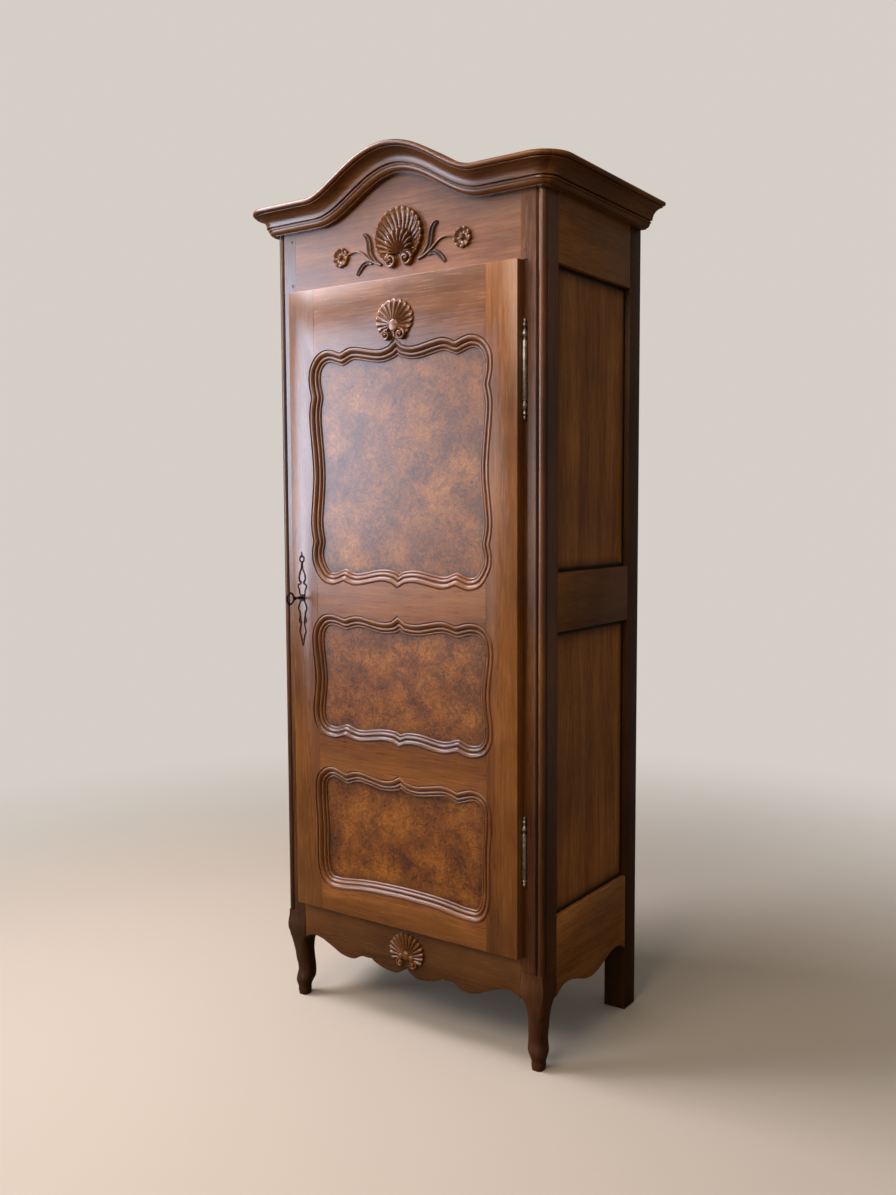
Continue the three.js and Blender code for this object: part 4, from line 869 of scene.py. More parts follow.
def fan(bm, centre, face, own):
    # A shell: from foot to oval rim run ribs parted by sharp grooves, or flutes parted by thin ridges.
    look = {**fanForm, **own}
    spread = math.radians(look["spread"])
    cx, cz = centre
    rimStart = look["rimStart"]

    def pointOf(u, v):
        rib = abs(math.sin(math.pi * look["ribs"] * u)) ** look["ribCurve"]
        angle = spread * (2 * u - 1)
        edge = 1 - look["scallop"] * (1 - rib)
        share = look["foot"] + (edge - look["foot"]) * min(1, v / rimStart)
        height = np.interp(share / edge, *zip(*look["profile"]))
        hollow = rib if look["fluted"] else 1 - rib
        height = max(height - look["groove"] * hollow * min(1, share / look["deepen"]), look["leastHeight"])
        if v > rimStart:
            fall = (v - rimStart) / (1 - rimStart)
            height = height * math.cos(fall * math.pi / 2) - look["sink"] * fall
            share += look["lip"] * math.sin(fall * math.pi / 2)
        x = cx + look["width"] * share * math.sin(angle)
        z = cz + share * (look["lift"] + look["rise"] * math.cos(angle))
        return (x, face - height, z)

    made = gridOf(bm, look["ribs"] * look["ribColumns"], look["rows"], pointOf)
    closeBack(bm, made, face + look["sink"])


domeForm = {"petals": 0, "notch": 0, "cleft": 0, "cleftGrowth": 1.6, "columns": 48, "rows": 14, "sink": 2}


def dome(bm, centre, face, own):
    # A round boss or a flower: petals swell round the middle.
    look = {**domeForm, **own}
    cx, cz = centre

    def pointOf(u, v):
        angle = fullTurn * u
        wave = abs(math.sin(look["petals"] * angle / 2)) ** 0.5 if look["petals"] else 1
        radius = look["radius"] * (1 - look["notch"] * (1 - wave)) * v
        sunk = look["cleft"] * (1 - wave) * min(1, v * look["cleftGrowth"])
        height = np.interp(v, *zip(*look["profile"])) * (1 - sunk)
        return (cx + radius * math.sin(angle), face - height, cz + radius * math.cos(angle))

    made = gridOf(bm, look["columns"], look["rows"], pointOf)
    bmesh.ops.remove_doubles(bm, verts=made, dist=weld)
    closeBack(bm, [vert for vert in made if vert.is_valid], face + look["sink"])


leafForm = {"spacing": 2.5, "columns": 12, "crownCurve": 0.8, "creaseWidth": 0.3, "creaseGrowth": 4,
            "sink": 2, "rim": 0.999}


def leaf(bm, path, face, own):
    # A leaf along a path: two raised halves and a sunk midrib.
    look = {**leafForm, **own}
    spine = curveThrough([(x, 0, z) for x, z in path], look["spacing"])
    last = len(spine) - 1

    def pointOf(u, v):
        place = v * last
        k = min(int(place), last - 1)
        point = spine[k].lerp(spine[k + 1], place - k)
        along = (spine[min(k + 2, last)] - spine[max(k - 1, 0)]).normalized()
        across = along.cross(depthAxis)
        width = np.interp(v, *zip(*look["widths"]))
        side = 2 * u - 1
        crown = math.sqrt(max(0, 1 - side ** 2)) ** look["crownCurve"]
        crease = look["crease"] * math.exp(-(side / look["creaseWidth"]) ** 2)
        crease *= min(1, v * look["creaseGrowth"])
        height = look["relief"] * np.interp(v, *zip(*look["heights"])) * (crown - crease)
        spot = point + across * width * side
        return (spot.x, face - height + (look["sink"] if abs(side) > look["rim"] else 0), spot.z)

    made = gridOf(bm, look["columns"], max(look["columns"], last), pointOf)
    closeBack(bm, made, face + look["sink"])


scrollForm = {
    "steps": 56, "closing": 0.8, "eyeShare": 0.9, "narrowing": 0.55, "startHeight": 0.55, "taper": 0.5,
    "depth": 0.9,
    "eyeDome": {"rows": 8, "columns": 20, "rim": 0.6}, "ground": {"rows": 6, "columns": 28, "rim": 0.85},
    "groundHeights": (0.5, 0.45),
}


def scroll(bm, centre, face, own, side):
    # A volute: a tapering roll wound round a raised eye, on ground that falls off under it.
    look = {**scrollForm, **own}
    cx, cz = centre
    thick, relief, start = look["thick"], look["relief"], look["startHeight"]
    path = []
    for k in range(look["steps"] + 1):
        t = k / look["steps"]
        angle = math.radians(look["start"]) + side * fullTurn * look["turns"] * t
        radius = look["radius"] * (1 - t) ** look["closing"] + look["eye"] * look["eyeShare"] * t
        radius -= thick * (1 - look["narrowing"] * t)
        y = face - relief * (start + (1 - start) * t)
        path.append(Vector((cx + radius * math.sin(angle), y, cz + radius * math.cos(angle))))
    sweep(bm, path, lambda t: thick * (1 - look["taper"] * t), lambda t: thick * look["depth"])
    eye, ground = look["eyeDome"], look["ground"]
    inner, outer = look["groundHeights"]
    dome(bm, centre, face, {**eye, "radius": look["eye"], "profile": [
        (0, relief + thick), (eye["rim"], relief + eye["rim"] * thick), (1, 1)]})
    dome(bm, centre, face, {**ground, "radius": look["radius"] - thick, "profile": [
        (0, relief * inner), (ground["rim"], relief * outer), (1, 0)]})


def volute(bm, x, base, face, look, side):
    scroll(bm, (x + side * look["x"], base + look["lift"]), face, look, side)


friezeCarving = {
    "lift": 68, "palmetteDrop": 3, "sharp": 60, "tone": 0.85,
    "shell": {
        "width": 71, "lift": 38, "rise": 68, "spread": 152, "ribs": 21, "ribCurve": 0.5, "fluted": False,
        "deepen": 0.3, "foot": 0.3, "scallop": 0.05, "groove": 4, "sink": 2, "lip": 0.012, "rows": 30,
        "profile": [(0, 2), (0.5, 2.2), (0.7, 4.2), (0.88, 9.5), (0.97, 13.5), (1, 12.5)]},
    "palmette": {
        "width": 41, "lift": 23, "rise": 36, "spread": 138, "ribs": 11, "ribCurve": 0.9, "fluted": False,
        "deepen": 0.3, "foot": 0.06, "scallop": 0.14, "groove": 9.5, "sink": 0.5, "lip": 0.02, "rows": 24,
        "profile": [(0, 9), (0.35, 14), (0.75, 16), (0.95, 13), (1, 11)]},
    "volute": {"x": 23, "lift": 49, "radius": 22, "thick": 5.2, "eye": 7, "relief": 11, "turns": 1.3,
               "start": -20},
    "longLeaf": {
        "path": [(58, 44), (77, 56), (90, 73), (93, 90), (96, 106), (103, 118), (113, 125)],
        "widths": [(0, 4), (0.25, 8), (0.55, 9.5), (0.8, 8.5), (0.94, 6), (1, 2.5)],
        "heights": [(0, 0.8), (0.5, 1), (0.9, 0.9), (1, 0.4)], "relief": 8.5, "crease": 0.75},
    "smallLeaf": {
        "path": [(86, 50), (104, 54), (118, 46), (127, 36), (134, 28)],
        "widths": [(0, 3), (0.35, 7), (0.75, 7.5), (0.93, 5.5), (1, 3)],
        "heights": [(0, 0.7), (0.5, 1), (1, 0.6)], "relief": 7, "crease": 0.75},
    "stem": {"path": [(56, 44), (76, 51), (97, 64), (115, 79), (132, 85), (149, 84), (162, 80)],
             "proud": 2, "spacing": 3, "wide": 3.2, "taper": 0.25, "high": 5},
    "flower": {
        "x": 184, "lift": 77, "radius": 25.5, "petals": 9, "notch": 0.12, "cleft": 0.5, "columns": 108,
        "rows": 22, "profile": [(0, 9.5), (0.17, 9.5), (0.26, 4.5), (0.34, 3), (0.55, 4.5), (0.8, 9),
                                (0.93, 8.5), (0.99, 4), (1, 0)]},
}


def carveFrieze():
    look = friezeCarving
    base = door["top"] - door["rabbet"]
    bm = bmesh.new()
    fan(bm, (0, base + look["lift"]), 0, look["shell"])
    fan(bm, (0, base + look["lift"] - look["palmetteDrop"]), 0, look["palmette"])
    stem, flower = look["stem"], look["flower"]
    for side in (-1, 1):
        volute(bm, 0, base, 0, look["volute"], side)
        for name in ("longLeaf", "smallLeaf"):
            leaf(bm, [(side * x, base + z) for x, z in look[name]["path"]], 0, look[name])
        points = [(side * x, -stem["proud"], base + z) for x, z in stem["path"]]
        sweep(bm, curveThrough(points, stem["spacing"]), lambda t: stem["wide"] * (1 - stem["taper"] * t),
              lambda t: stem["high"])
        dome(bm, (side * flower["x"], base + flower["lift"]), 0, flower)
    finishPiece(bm, "frieze_carving", "carved", sharp=look["sharp"], tone=look["tone"], soften=1)
    print("frieze carving ready")


doorCarving = {
    "lift": 29, "bossDrop": 2, "sharp": 60, "tone": 1.1,
    "fan": {
        "width": 57, "lift": 13, "rise": 49, "spread": 140, "ribs": 15, "ribCurve": 0.6, "fluted": True,
        "deepen": 0.65, "foot": 0.2, "scallop": 0.12, "groove": 5, "sink": 1.5, "lip": 0.015, "rows": 26,
        "profile": [(0, 10), (0.3, 9.5), (0.8, 9.5), (0.95, 9.5), (1, 8)]},
    "boss": {"radius": 14, "sink": 1, "columns": 40, "profile": [(0, 10.2), (0.4, 10), (0.8, 9.2), (1, 8)]},
    "volute": {"x": 21, "lift": 5, "radius": 16, "thick": 3.8, "eye": 5, "relief": 11, "turns": 1.3,
               "start": 20},
    "stem": {"path": [20, 6, 1], "proud": 1.5, "spacing": 2, "wide": 3.15, "widening": 2.25, "high": 6,
             "fall": 3},
}
apronCarving = {
    "x": 5, "lift": 14, "sharp": 60, "tone": 0.75,
    "fan": {
        "width": 53, "lift": 12, "rise": 47, "spread": 128, "ribs": 15, "ribCurve": 0.9, "fluted": False,
        "deepen": 0.3, "foot": 0.24, "scallop": 0.07, "groove": 5, "sink": 1.5, "lip": 0.015, "rows": 24,
        "profile": [(0, 7), (0.4, 7), (0.85, 9), (1, 8)]},
    "bosses": [(0, 2, 12), (-17, -2, 8.4), (17, -2, 8.4)],
    "boss": {"sink": 1, "columns": 36, "profile": [(0, 10.5), (0.5, 10), (0.85, 8.5), (1, 6)]},
    "volute": {"x": 20, "lift": -4, "radius": 14, "thick": 3.4, "eye": 4.8, "relief": 7.5, "turns": 1.2,
               "start": 10},
}


def carveDoor():
    base, face, look = panelSpans()["upper"][1], door["front"], doorCarving
    bm = bmesh.new()
    fan(bm, (0, base + look["lift"]), face, look["fan"])
    dome(bm, (0, base + look["lift"] - look["bossDrop"]), face, look["boss"])
    for side in (-1, 1):
        volute(bm, 0, base, face, look["volute"], side)
    stem = look["stem"]
    path = curveThrough([(0, face - stem["proud"], base + z) for z in stem["path"]], stem["spacing"])
    sweep(bm, path, lambda t: stem["wide"] + stem["widening"] * t,
          lambda t: stem["high"] - stem["fall"] * t)
    finishPiece(bm, "door_carving", "carved", ridesOn="door", sharp=look["sharp"],
                tone=look["tone"], soften=1)


def carveApron():
    base, look = apronLook["arch"], apronCarving
    bm = bmesh.new()
    fan(bm, (look["x"], base + look["lift"]), 0, look["fan"])
    for x, lift, radius in look["bosses"]:
        dome(bm, (look["x"] + x, base + look["lift"] + lift), 0, {**look["boss"], "radius": radius})
    for side in (-1, 1):
        volute(bm, look["x"], base, 0, look["volute"], side)
    finishPiece(bm, "apron_carving", "level", sharp=look["sharp"], tone=look["tone"], soften=1)
    print("door and apron carving ready")


# Door frame: one fine half of its front, cut into stiles and rails

mouldingLook = {
    "width": 31, "spacing": 5.5, "apex": 0.68,
    "profile": [
        (0, 0), (0.6, 2.4), (1.4, 3), (2.2, 2.2), (3.4, 1), (5, 0.5), (7, 0.5), (9, 1), (11, 2.1),
        (12.6, 3.5), (13.6, 5), (14.3, 6.4), (15.2, 6.9), (16.2, 6.3), (17.2, 5.2), (18.6, 4.7),
        (20.2, 4.7), (21.8, 5.3), (23.2, 6.5), (24.2, 8), (24.9, 9.3), (25.8, 9.6), (26.8, 9),
        (28.2, 8.8), (29.6, 9.3), (30.6, 10.2), (31, 10.8)],
}
outlines = {
    "upper": {"foot": 0.39, "crown": 0.59, "stretches": [
        [(0.2, 0.024), (0.47, 0.004), (0.613, 0.02)],
        [(0.613, 0.02), (0.75, 0.003), (0.88, 0.023), (0.972, 0.085), (0.99, 0.14), (0.969, 0.184)],
        [(0.969, 0.184), (0.994, 0.27), (0.96, 0.47), (0.998, 0.7), (0.973, 0.787)],
        [(0.973, 0.787), (1, 0.85), (0.985, 0.912), (0.9, 0.963), (0.77, 0.981), (0.625, 0.963)],
        [(0.625, 0.963), (0.48, 0.981), (0.2, 0.96)]]},
    "middle": {"foot": 0.3, "crown": 0.48, "stretches": [
        [(0.2, 0.031), (0.46, 0.002), (0.62, 0.03)],
        [(0.62, 0.03), (0.75, 0.002), (0.885, 0.025), (0.97, 0.1), (0.998, 0.22), (0.967, 0.47), (1, 0.74),
         (0.98, 0.87), (0.885, 0.962), (0.76, 0.983), (0.615, 0.956)],
        [(0.615, 0.956), (0.46, 0.982), (0.2, 0.947)]]},
    "lower": {"foot": 0, "crown": 0.4, "stretches": [
        [(0, 0.041), (0.38, 0.031), (0.73, 0.001), (0.87, 0.024), (0.95, 0.12), (0.97, 0.28), (0.968, 0.5),
         (0.985, 0.76), (0.965, 0.89), (0.87, 0.971), (0.76, 0.988), (0.62, 0.954)],
        [(0.62, 0.954), (0.47, 0.984), (0.2, 0.95)]]},
}


def panelSpans():
    spans = {}
    for name in ("upper", "middle", "lower"):
        low, high = boxOf(f"door_{name}_panel")
        spans[name] = (low.z + door["panelGroove"], high.z - door["panelGroove"])
    return spans


def outlineOf(name):
    # The right half of a panel's outline, from its foot to its crown on the centre line.
    look = outlines[name]
    bottom, top = panelSpans()[name]
    width, half = mouldingLook["width"], door["panelHalf"]
    height = top - bottom
    stretches = [[(u * half, 0, bottom + v * height) for u, v in stretch] for stretch in look["stretches"]]
    apex = mouldingLook["apex"] * width
    crown = (apex, 0, top - look["crown"] * width)
    stretches[-1].append(crown)
    if look["foot"]:
        foot = (apex, 0, bottom + look["foot"] * width)
        stretches[0].insert(0, foot)
        stretches.insert(0, [(0, 0, bottom), foot])
    points = [p for stretch in stretches for p in smoothCurve(stretch, mouldingLook["spacing"])]
    return points + [Vector(crown), Vector((0, 0, top))]


def insetOf(outline, distance, depth):
    # The outline moved towards the panel and back into the wood, with mitred corners.
    moved = []
    last = len(outline) - 1
    for k, point in enumerate(outline):
        before = outline[k - 1] if k else Vector((-outline[1].x, 0, outline[1].z))
        after = outline[k + 1] if k < last else Vector((-outline[last - 1].x, 0, outline[last - 1].z))
        arrive, leave = (point - before).normalized(), (after - point).normalized()
        along = (arrive + leave).normalized()
        reach = distance / along.dot(leave)
        inward = Vector((-along.z, 0, along.x))
        x = 0 if k in (0, last) else max(0, point.x + inward.x * reach)
        moved.append(Vector((x, door["front"] + depth, point.z + inward.z * reach)))
    return moved


def doorHalfFrame():
    # The right half of the door's frame as one sheet: face, mouldings and back, open on the centre line.
    bm = bmesh.new()
    half, bottom, top, faces = door["half"], door["bottom"], door["top"], (door["front"], door["back"])
    faceOutline, backOutline = [], []
    for name in ("lower", "middle", "upper"):
        outline = outlineOf(name)
        rings = [insetOf(outline, w, d) for w, d in mouldingLook["profile"]]
        rings.append(insetOf(outline, mouldingLook["width"], door["back"] - door["front"]))
        skin(bm, rings, closed=False)
        faceOutline += rings[0]
        backOutline += rings[-1]
    for outline, y in zip((faceOutline, backOutline), faces):
        corners = [(0, y, bottom), *outline, (0, y, top), (half, y, top), (half, y, bottom)]
        _, edges = loopOf(bm, corners)
        bmesh.ops.edgeloop_fill(bm, edges=edges)
    bmesh.ops.remove_doubles(bm, verts=bm.verts, dist=weld)
    corners = [(0, bottom), (half, bottom), (half, top), (0, top)]
    skin(bm, [[(x, y, z) for x, z in corners] for y in faces], closed=False)
    bmesh.ops.remove_doubles(bm, verts=bm.verts, dist=weld)
    bmesh.ops.recalc_face_normals(bm, faces=bm.faces)
    return bm


def easeRim(bm, ease):
    # Rounds the front edges along the door's outer sides.
    near, square = 0.01, 60
    rim = []
    for e in sharpEdges(bm, square):
        a, b = (v.co for v in e.verts)
        front = all(abs(p.y - door["front"]) < near for p in (a, b))
        outer = any(abs(p.x - door["half"]) < near for p in (a, b)) and abs(a.x - b.x) < near
        level = abs(a.z - b.z) < near and any(abs(a.z - z) < near for z in (door["bottom"], door["top"]))
        if front and (outer or level):
            rim.append(e)
    bevelEdges(bm, rim, ease)


def doorFrame():
    # Two stiles and four rails, cut from the half sheet and its mirror image. Beside a panel, from one
    # rail's horn to the next, the stile carries the moulding.
    look = {"ease": 1.6, "sharp": 32, "stripWidth": 62,
            "rails": {"bottom": (None, "lower"), "lower": ("lower", "middle"), "lock": ("middle", "upper"),
                      "top": ("upper", None)},
            # The lock stile's low tone is painted shade, and the bottom rail's high tone painted light.
            "tones": {"hinge_stile": 0.88, "lock_stile": 0.68, "door_bottom_rail": 1.15,
                      "door_lower_rail": 0.75, "door_lock_rail": 1.0, "door_top_rail": 0.74}}
    spans = panelSpans()
    whole = doorHalfFrame()
    joint, gap, horn = door["joint"], door["jointGap"], door["horn"]

    def part(cuts):
        bm = whole.copy()
        for point, normal in cuts:
            cut(bm, point, normal)
        return bm

    pieces = {}
    stile = part([((joint + gap, 0, 0), (-1, 0, 0))])
    easeRim(stile, look["ease"])
    for bottom, top in spans.values():
        strip = part([((joint + gap, 0, 0), (1, 0, 0)), ((0, 0, bottom + horn), (0, 0, -1)),
                      ((0, 0, top - horn), (0, 0, 1)), ((joint - look["stripWidth"], 0, 0), (-1, 0, 0))])
        mesh = bpy.data.meshes.new("strip")
        strip.to_mesh(mesh)
        strip.free()
        stile.from_mesh(mesh)
        bpy.data.meshes.remove(mesh)
    pieces["hinge_stile"] = stile
    pieces["lock_stile"] = stile.copy()
    bmesh.ops.scale(pieces["lock_stile"], verts=pieces["lock_stile"].verts, vec=(-1, 1, 1))
    for rail, (below, above) in look["rails"].items():
        cuts = [((joint - gap, 0, 0), (1, 0, 0))]
        if below:
            cuts.append(((0, 0, spans[below][1] - horn + gap), (0, 0, -1)))
        if above:
            cuts.append(((0, 0, spans[above][0] + horn - gap), (0, 0, 1)))
        bm = part(cuts)
        easeRim(bm, look["ease"])
        bmesh.ops.mirror(bm, geom=allOf(bm), axis="X", merge_dist=fineWeld)
        pieces[f"door_{rail}_rail"] = bm
    whole.free()
    for name, bm in pieces.items():
        finish = "upright" if name.endswith("stile") else "level"
        finishPiece(bm, name + "_moulded", finish, ridesOn="door", stands=[name], sharp=look["sharp"],
                    tone=look["tones"][name], soften=2)
    print("door frame ready")


def doorPanels():
    # Each panel is cut into cells, so that dirt and painted shade can darken its rim along the moulding.
    look = {"cell": 7, "reach": 9, "dirtAndShade": 0.85}
    for name in ("upper", "middle", "lower"):
        node = f"door_{name}_panel"
        low, high = boxOf(node)
        bm = bmesh.new()
        block(bm, low, high)
        sliceEvenly(bm, low, high, (0, 2), look["cell"])
        rim = insetOf(outlineOf(name), mouldingLook["width"], 0)

        def shadeAt(mesh):
            flat = np.array([(abs(p.x), p.z) for p in placesOf(mesh)])
            nearest = np.min([np.hypot(flat[:, 0] - p.x, flat[:, 1] - p.z) for p in rim], axis=0)
            return look["dirtAndShade"] * np.exp(-nearest / look["reach"])

        finishPiece(bm, node + "_veneered", "burr", "door", "burr", [node], shadeAt=shadeAt)
    print("door panels ready")


# Vase hinges, lock and key

hingeLook = {
    "barrel": 5.5, "leaf": 3, "seam": 0.15, "ease": 0.5, "neckHeight": 0.8, "neckDepth": 0.4, "slack": 0.12,
    "spacing": 0.8, "sharp": 40,
    "vase": [(1, 0), (0.66, 0.02), (0.6, 0.08), (0.68, 0.13), (1.1, 0.24), (1.1, 0.3), (0.8, 0.42),
             (0.44, 0.52), (0.62, 0.58), (0.82, 0.66), (0.82, 0.72), (0.42, 0.8), (0.52, 0.86), (0.5, 0.93),
             (0.3, 0.98), (0, 1)],
    "upper": {"split": 1640, "frame": {"barrel": 67, "vase": 45}, "door": {"barrel": 66, "vase": 49}},
    "lower": {"split": 509, "frame": {"barrel": 42, "vase": 18}, "door": {"barrel": 64, "vase": 42}},
}


def hinges():
    # Each half is a barrel that ends in a turned vase, and a leaf let into the post or the door's edge.
    look = hingeLook
    axis = next(joint for joint in frame["joints"] if joint["name"] == "door_hinge")["pos_m"]
    x, y, _ = fromFrame @ Vector(axis)
    radius, leafHalf = look["barrel"], look["leaf"] / 2
    for name in ("upper", "lower"):
        split = look[name]["split"]
        for half, rides, sign in (("frame", "carcase", -1), ("door", "door", 1)):
            barrel, vase = look[name][half]["barrel"], look[name][half]["vase"]
            seam, end = split + sign * look["seam"], split + sign * barrel
            profile = [(0, seam), (radius - look["ease"], seam), (radius, seam + sign * look["ease"]),
                       (radius, end - sign * look["neckHeight"]), (radius - look["neckDepth"], end)]
            points = [(r * radius, 0, end + sign * share * vase) for r, share in look["vase"]]
            profile += [(max(p.x, 0), p.z) for p in curveThrough(points, look["spacing"])[1:]]
            bm = bmesh.new()
            spun(bm, profile, x, y)
            slack = look["slack"] * barrel
            z0, z1 = sorted((split + sign * slack, split + sign * (barrel - slack)))
            node = f"hinge_{name}_{half}_knuckle"
            low, high = boxOf(node)
            if half == "frame":
                block(bm, (x - leafHalf, y, z0), (x + leafHalf, high.y, z1))
            else:
                block(bm, (low.x, y - leafHalf, z0), (x, y + leafHalf, z1))
            finishPiece(bm, f"hinge_{name}_{half}_vase", "steel", rides, "hinge_steel", [node],
                        sharp=look["sharp"])
    print("hinges ready")


escutcheonLook = {
    "keyInset": 33, "keyHeight": 1100, "thick": 1.5, "wide": 2.2, "thinner": 0.7, "spacing": 1.5,
    "sides": 8,
    "scrolls": [
        [(1.2, 92), (1.8, 82), (3, 74), (7, 66), (10, 58), (10.5, 50), (8, 43), (4, 39.5), (7, 36),
         (13, 34), (14.5, 28), (11, 22), (9.5, 14), (8, 8)],
        [(7, -8), (9, -14), (13, -22), (14.5, -30), (10, -38), (8.5, -46), (11, -54), (12.5, -60),
         (9, -66), (4.5, -62)],
        [(8.5, -46), (6.5, -58), (6, -70), (9, -80), (11, -90), (7, -98), (4.5, -108), (2, -122),
         (0, -126)]],
    "ring": {"lift": 101, "wide": 7.5, "tall": 8.25, "wire": 1.6, "steps": 28},
    "tips": {"spans": [(105, 110, 120), (90, 92, 96)], "spacing": 1, "taper": 0.7},
    "plate": {"half": 8.5, "tall": 9}, "sharp": 50,
}


def keyPlace():
    return escutcheonLook["keyInset"] - door["half"], escutcheonLook["keyHeight"]


def escutcheon():
    look = escutcheonLook
    x, z = keyPlace()
    depth = look["thick"] / 2
    face = door["front"] - body["gap"] - depth
    bm = bmesh.new()

    def bar(path, widthOf):
        sweep(bm, path, widthOf, lambda t: depth, look["sides"])

    for side in (-1, 1):
        for points in look["scrolls"]:
            path = curveThrough([(x + side * u, face, z + v) for u, v in points], look["spacing"])
            bar(path, lambda t: look["wide"] - look["thinner"] * abs(2 * t - 1))
    ring, tips, plate = look["ring"], look["tips"], look["plate"]
    path = []
    for k in range(ring["steps"] + 1):
        angle = fullTurn * k / ring["steps"]
        u, v = ring["wide"] * math.sin(angle), ring["lift"] + ring["tall"] * math.cos(angle)
        path.append(Vector((x + u, face, z + v)))
    bar(path, lambda t: ring["wire"])
    for span in tips["spans"]:
        path = curveThrough([(x, face, z + lift) for lift in span], tips["spacing"])
        bar(path, lambda t: look["wide"] * (1 - tips["taper"] * t))
    block(bm, (x - plate["half"], face - depth, z - plate["tall"]),
          (x + plate["half"], face + depth, z + plate["tall"]))
    finishPiece(bm, "escutcheon_openwork", "iron", "door", "black_iron", ["escutcheon"], sharp=look["sharp"])


def turnForward(bm, x, z):
    # Lays down what was turned on the upright axis, so that its upper end points forward.
    turn = Matrix.Translation((x, 0, z)) @ Matrix.Rotation(math.pi / 2, 4, "X")
    bmesh.ops.transform(bm, matrix=turn, verts=bm.verts)


def lockKey():
    # The shank's profile is radii and distances in front of the door; its rear end comes from the frame.
    look = {"shank": 3, "sides": 24,
            "profile": [(3, 10), (3.4, 11), (4.6, 13), (3.4, 15), (3, 16), (3, 24), (3.6, 25), (5.2, 27.5),
                        (3.6, 30), (2.6, 32.5), (0, 33)],
            "bow": {"reach": 31, "deep": 15, "tall": 17, "wire": 2.5, "steps": 40, "sides": 10},
            "bit": {"tall": 9.5, "thick": 3, "fromCase": 3, "fromEnd": 4}, "sharp": 40}
    x, z = keyPlace()
    rear = boxOf("key")[1].y
    bm = bmesh.new()
    profile = [(0, rear), (look["shank"], rear)] + [(r, door["front"] - out) for r, out in look["profile"]]
    spun(bm, [(r, -y) for r, y in profile], 0, 0, look["sides"])
    turnForward(bm, x, z)
    bow, bit, sideways = look["bow"], look["bit"], Vector((1, 0, 0))
    y, wire = door["front"] - bow["reach"] - bow["deep"], bow["wire"]
    turns = [fullTurn * k / bow["sides"] for k in range(bow["sides"])]
    rings = []
    for k in range(bow["steps"]):
        angle = fullTurn * k / bow["steps"]
        out = Vector((0, math.cos(angle), math.sin(angle)))
        middle = Vector((x, y + (bow["deep"] - wire) * out.y, z + (bow["tall"] - wire) * out.z))
        rings.append([middle + out * wire * math.cos(a) + sideways * wire * math.sin(a) for a in turns])
    loops = skin(bm, rings, caps=False)
    bmesh.ops.bridge_loops(bm, edges=loops[0][1] + loops[-1][1])
    front, half = boxOf("lock_case")[0].y + bit["fromCase"], bit["thick"] / 2
    block(bm, (x - half, front, z - bit["tall"]), (x + half, rear - bit["fromEnd"], z))
    finishPiece(bm, "key_with_ring_bow", "iron", "key", "black_iron", ["key"], sharp=look["sharp"])


def lockParts():
    for node in ("lock_case", "lock_bolt", "strike_plate"):
        piece = frame["nodes"][node]
        piece.data.materials.clear()
        piece.data.materials.append(finishes["iron"])
    print("lock and key ready")


def pegs():
    look = {"radius": 4, "ease": 0.5, "swell": 0.1, "sides": 20, "tone": 0.25}
    radius = look["radius"]
    for level in ("lower", "upper"):
        for side in ("left", "right"):
            node = f"frieze_peg_{level}_{side}"
            low, high = boxOf(node)
            front, rear = -low.y, -high.y
            profile = [(0, front), (radius - look["ease"], front + look["swell"]),
                       (radius, front - look["ease"]), (radius, rear), (0, rear)]
            bm = bmesh.new()
            spun(bm, profile, 0, 0, look["sides"])
            centre = (low + high) / 2
            turnForward(bm, centre.x, centre.z)
            finishPiece(bm, node + "_round", "sideAcross", slot="side_walnut", stands=[node],
                        tone=look["tone"])
    print("pegs ready")


# Floor, light and camera

def paleFloor():
    # A disc that fades into the backdrop's colour; what it throws back on the wood is browner and weaker
    # than what the camera sees.
    look = {"size": 14, "segments": 96, "seen": "#d8c8b4", "bounce": "#5e4528", "backdrop": "#d5cec6",
            "glowBounce": 0.12, "fade": (0.9, 3.4), "roughness": 0.75}
    bm = bmesh.new()
    bmesh.ops.create_circle(bm, cap_ends=True, segments=look["segments"], radius=look["size"])
    mesh = bpy.data.meshes.new("floor")
    bm.to_mesh(mesh)
    bm.free()
    floor = bpy.data.objects.new("floor", mesh)
    bpy.context.scene.collection.objects.link(floor)
    material, tree, shader = emptyMaterial("pale floor", {"Roughness": look["roughness"]})
    seen = addNode(tree, "LightPath").outputs["Is Camera Ray"]
    shown = addNode(tree, "Mix", {0: seen, 6: linear(look["bounce"]), 7: linear(look["seen"])},
                    data_type="RGBA")
    setInputs(tree, shader, {"Base Color": shown.outputs[2]})
    place = addNode(tree, "TexCoord").outputs["Object"]
    distance = addNode(tree, "VectorMath", {0: place}, operation="LENGTH").outputs["Value"]
    far = addNode(tree, "MapRange", span(distance, look["fade"]), interpolation_type="SMOOTHSTEP")
    shine = addNode(tree, "MapRange", span(seen, (0, 1), (look["glowBounce"], 1)))
    glow = addNode(tree, "Emission", {"Color": linear(look["backdrop"]), "Strength": shine})
    blend = addNode(tree, "MixShader", {0: far, 1: shader, 2: glow})
    setInputs(tree, tree.nodes["Material Output"], {"Surface": blend})
    mesh.materials.append(material)


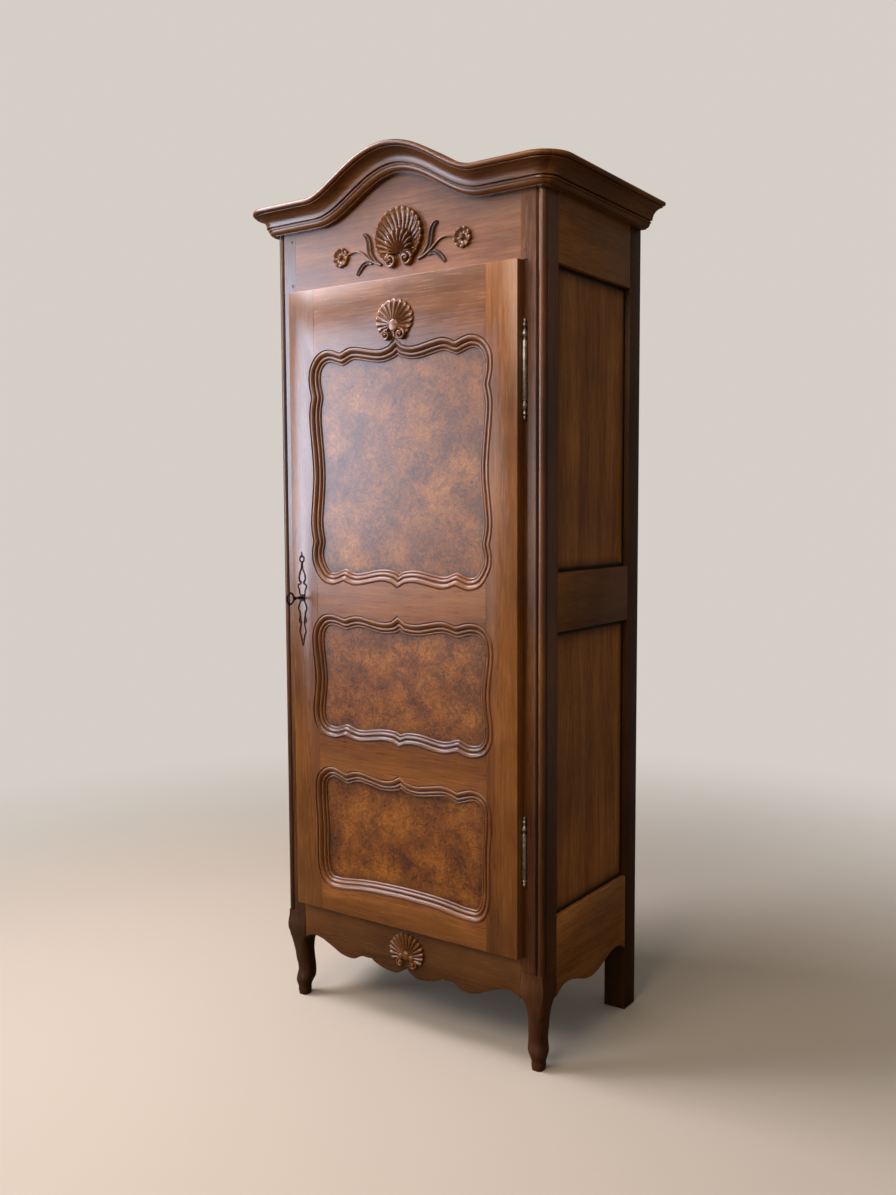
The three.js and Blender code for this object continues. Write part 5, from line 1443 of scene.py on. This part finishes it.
def softWorld():
    # The camera sees the backdrop; the wood is lit by a dim world that is brighter on the window's side.
    look = {"backdrop": "#d5cec6", "light": "#ece9e6", "side": (-0.45, -0.55, 0.7), "facing": (-0.5, 0.9),
            "strength": (0.1, 0.32)}
    world = bpy.data.worlds.new("studio")
    bpy.context.scene.world = world
    world.use_nodes = True
    tree = world.node_tree
    tree.nodes.clear()
    seen = addNode(tree, "Background", {"Color": linear(look["backdrop"]), "Strength": 1.0})
    direction = addNode(tree, "TexCoord").outputs["Generated"]
    facing = addNode(tree, "VectorMath", {0: direction, 1: look["side"]}, operation="DOT_PRODUCT")
    level = addNode(tree, "MapRange", span(facing.outputs["Value"], look["facing"], look["strength"]))
    light = addNode(tree, "Background", {"Color": linear(look["light"]), "Strength": level})
    straight = addNode(tree, "LightPath").outputs["Is Camera Ray"]
    mixed = addNode(tree, "MixShader", {0: straight, 1: light, 2: seen})
    addNode(tree, "OutputWorld", {"Surface": mixed})


lamps = {
    "window": {"place": (-2.75, -2.65, 1.85), "aim": (0, -0.2, 1.55), "size": (1.3, 1.7), "power": 19,
               "spread": 80, "colour": "#cfe4ff"},
    "farWindow": {"place": (-2.4, -4.6, 1.4), "aim": (0, -0.2, 1.2), "size": (1.3, 1.1), "power": 1.6,
                  "spread": 60, "colour": "#fff0e2"},
    "skylight": {"place": (-2.0, -1.15, 3.5), "aim": (0, -0.2, 1.1), "size": (1.5, 1.5), "power": 115,
                 "spread": 180, "colour": "#f6f4ff"},
    "overhead": {"place": (0.1, -3.6, 3.6), "aim": (0.1, -0.2, 0.7), "size": (2.4, 1.6), "power": 78,
                 "spread": 180, "colour": "#ffeedd"},
}


def hangLamps():
    for name, lamp in lamps.items():
        data = bpy.data.lights.new(name, "AREA")
        data.shape = "RECTANGLE"
        data.size, data.size_y = lamp["size"]
        data.energy = lamp["power"]
        data.spread = math.radians(lamp["spread"])
        data.color = linear(lamp["colour"])[:3]
        light = bpy.data.objects.new(name, data)
        bpy.context.scene.collection.objects.link(light)
        light.location = lamp["place"]
        light.rotation_euler = (Vector(lamp["aim"]) - light.location).to_track_quat("-Z", "Y").to_euler()


def photoCamera():
    # Where the photo was taken from, with the focal length and the frame's height in pixels.
    look = {"place": (1.6718, -2.3896, 1.3309), "focal": 1117.31, "tall": 1195, "sensor": 36,
            "pitch": 4.5725, "yaw": 35.0806, "roll": -0.2772}
    pitch, yaw, roll = (math.radians(look[k]) for k in ("pitch", "yaw", "roll"))
    forward = Vector((-math.sin(yaw) * math.cos(pitch), math.cos(yaw) * math.cos(pitch), -math.sin(pitch)))
    right = forward.cross(upAxis).normalized()
    up = right.cross(forward)
    rolledRight = right * math.cos(roll) + up * math.sin(roll)
    rolledUp = up * math.cos(roll) - right * math.sin(roll)
    data = bpy.data.cameras.new("camera")
    data.sensor_width = look["sensor"]
    data.lens = look["sensor"] * look["focal"] / look["tall"]
    camera = bpy.data.objects.new("camera", data)
    scene = bpy.context.scene
    scene.collection.objects.link(camera)
    turned = Matrix((rolledRight, rolledUp, -forward)).transposed().to_4x4()
    camera.matrix_world = Matrix.Translation(look["place"]) @ turned
    scene.camera = camera
    scene.view_settings.view_transform = "Standard"
    print("studio ready")


paleFloor()
softWorld()
hangLamps()
photoCamera()
innerBoards()
sideBoards()
for side in ("left", "right"):
    frontPost(side)
print("posts ready")
cornices()
friezeRail()
apronRail()
carveFrieze()
carveDoor()
carveApron()
doorFrame()
doorPanels()
hinges()
escutcheon()
lockKey()
lockParts()
pegs()
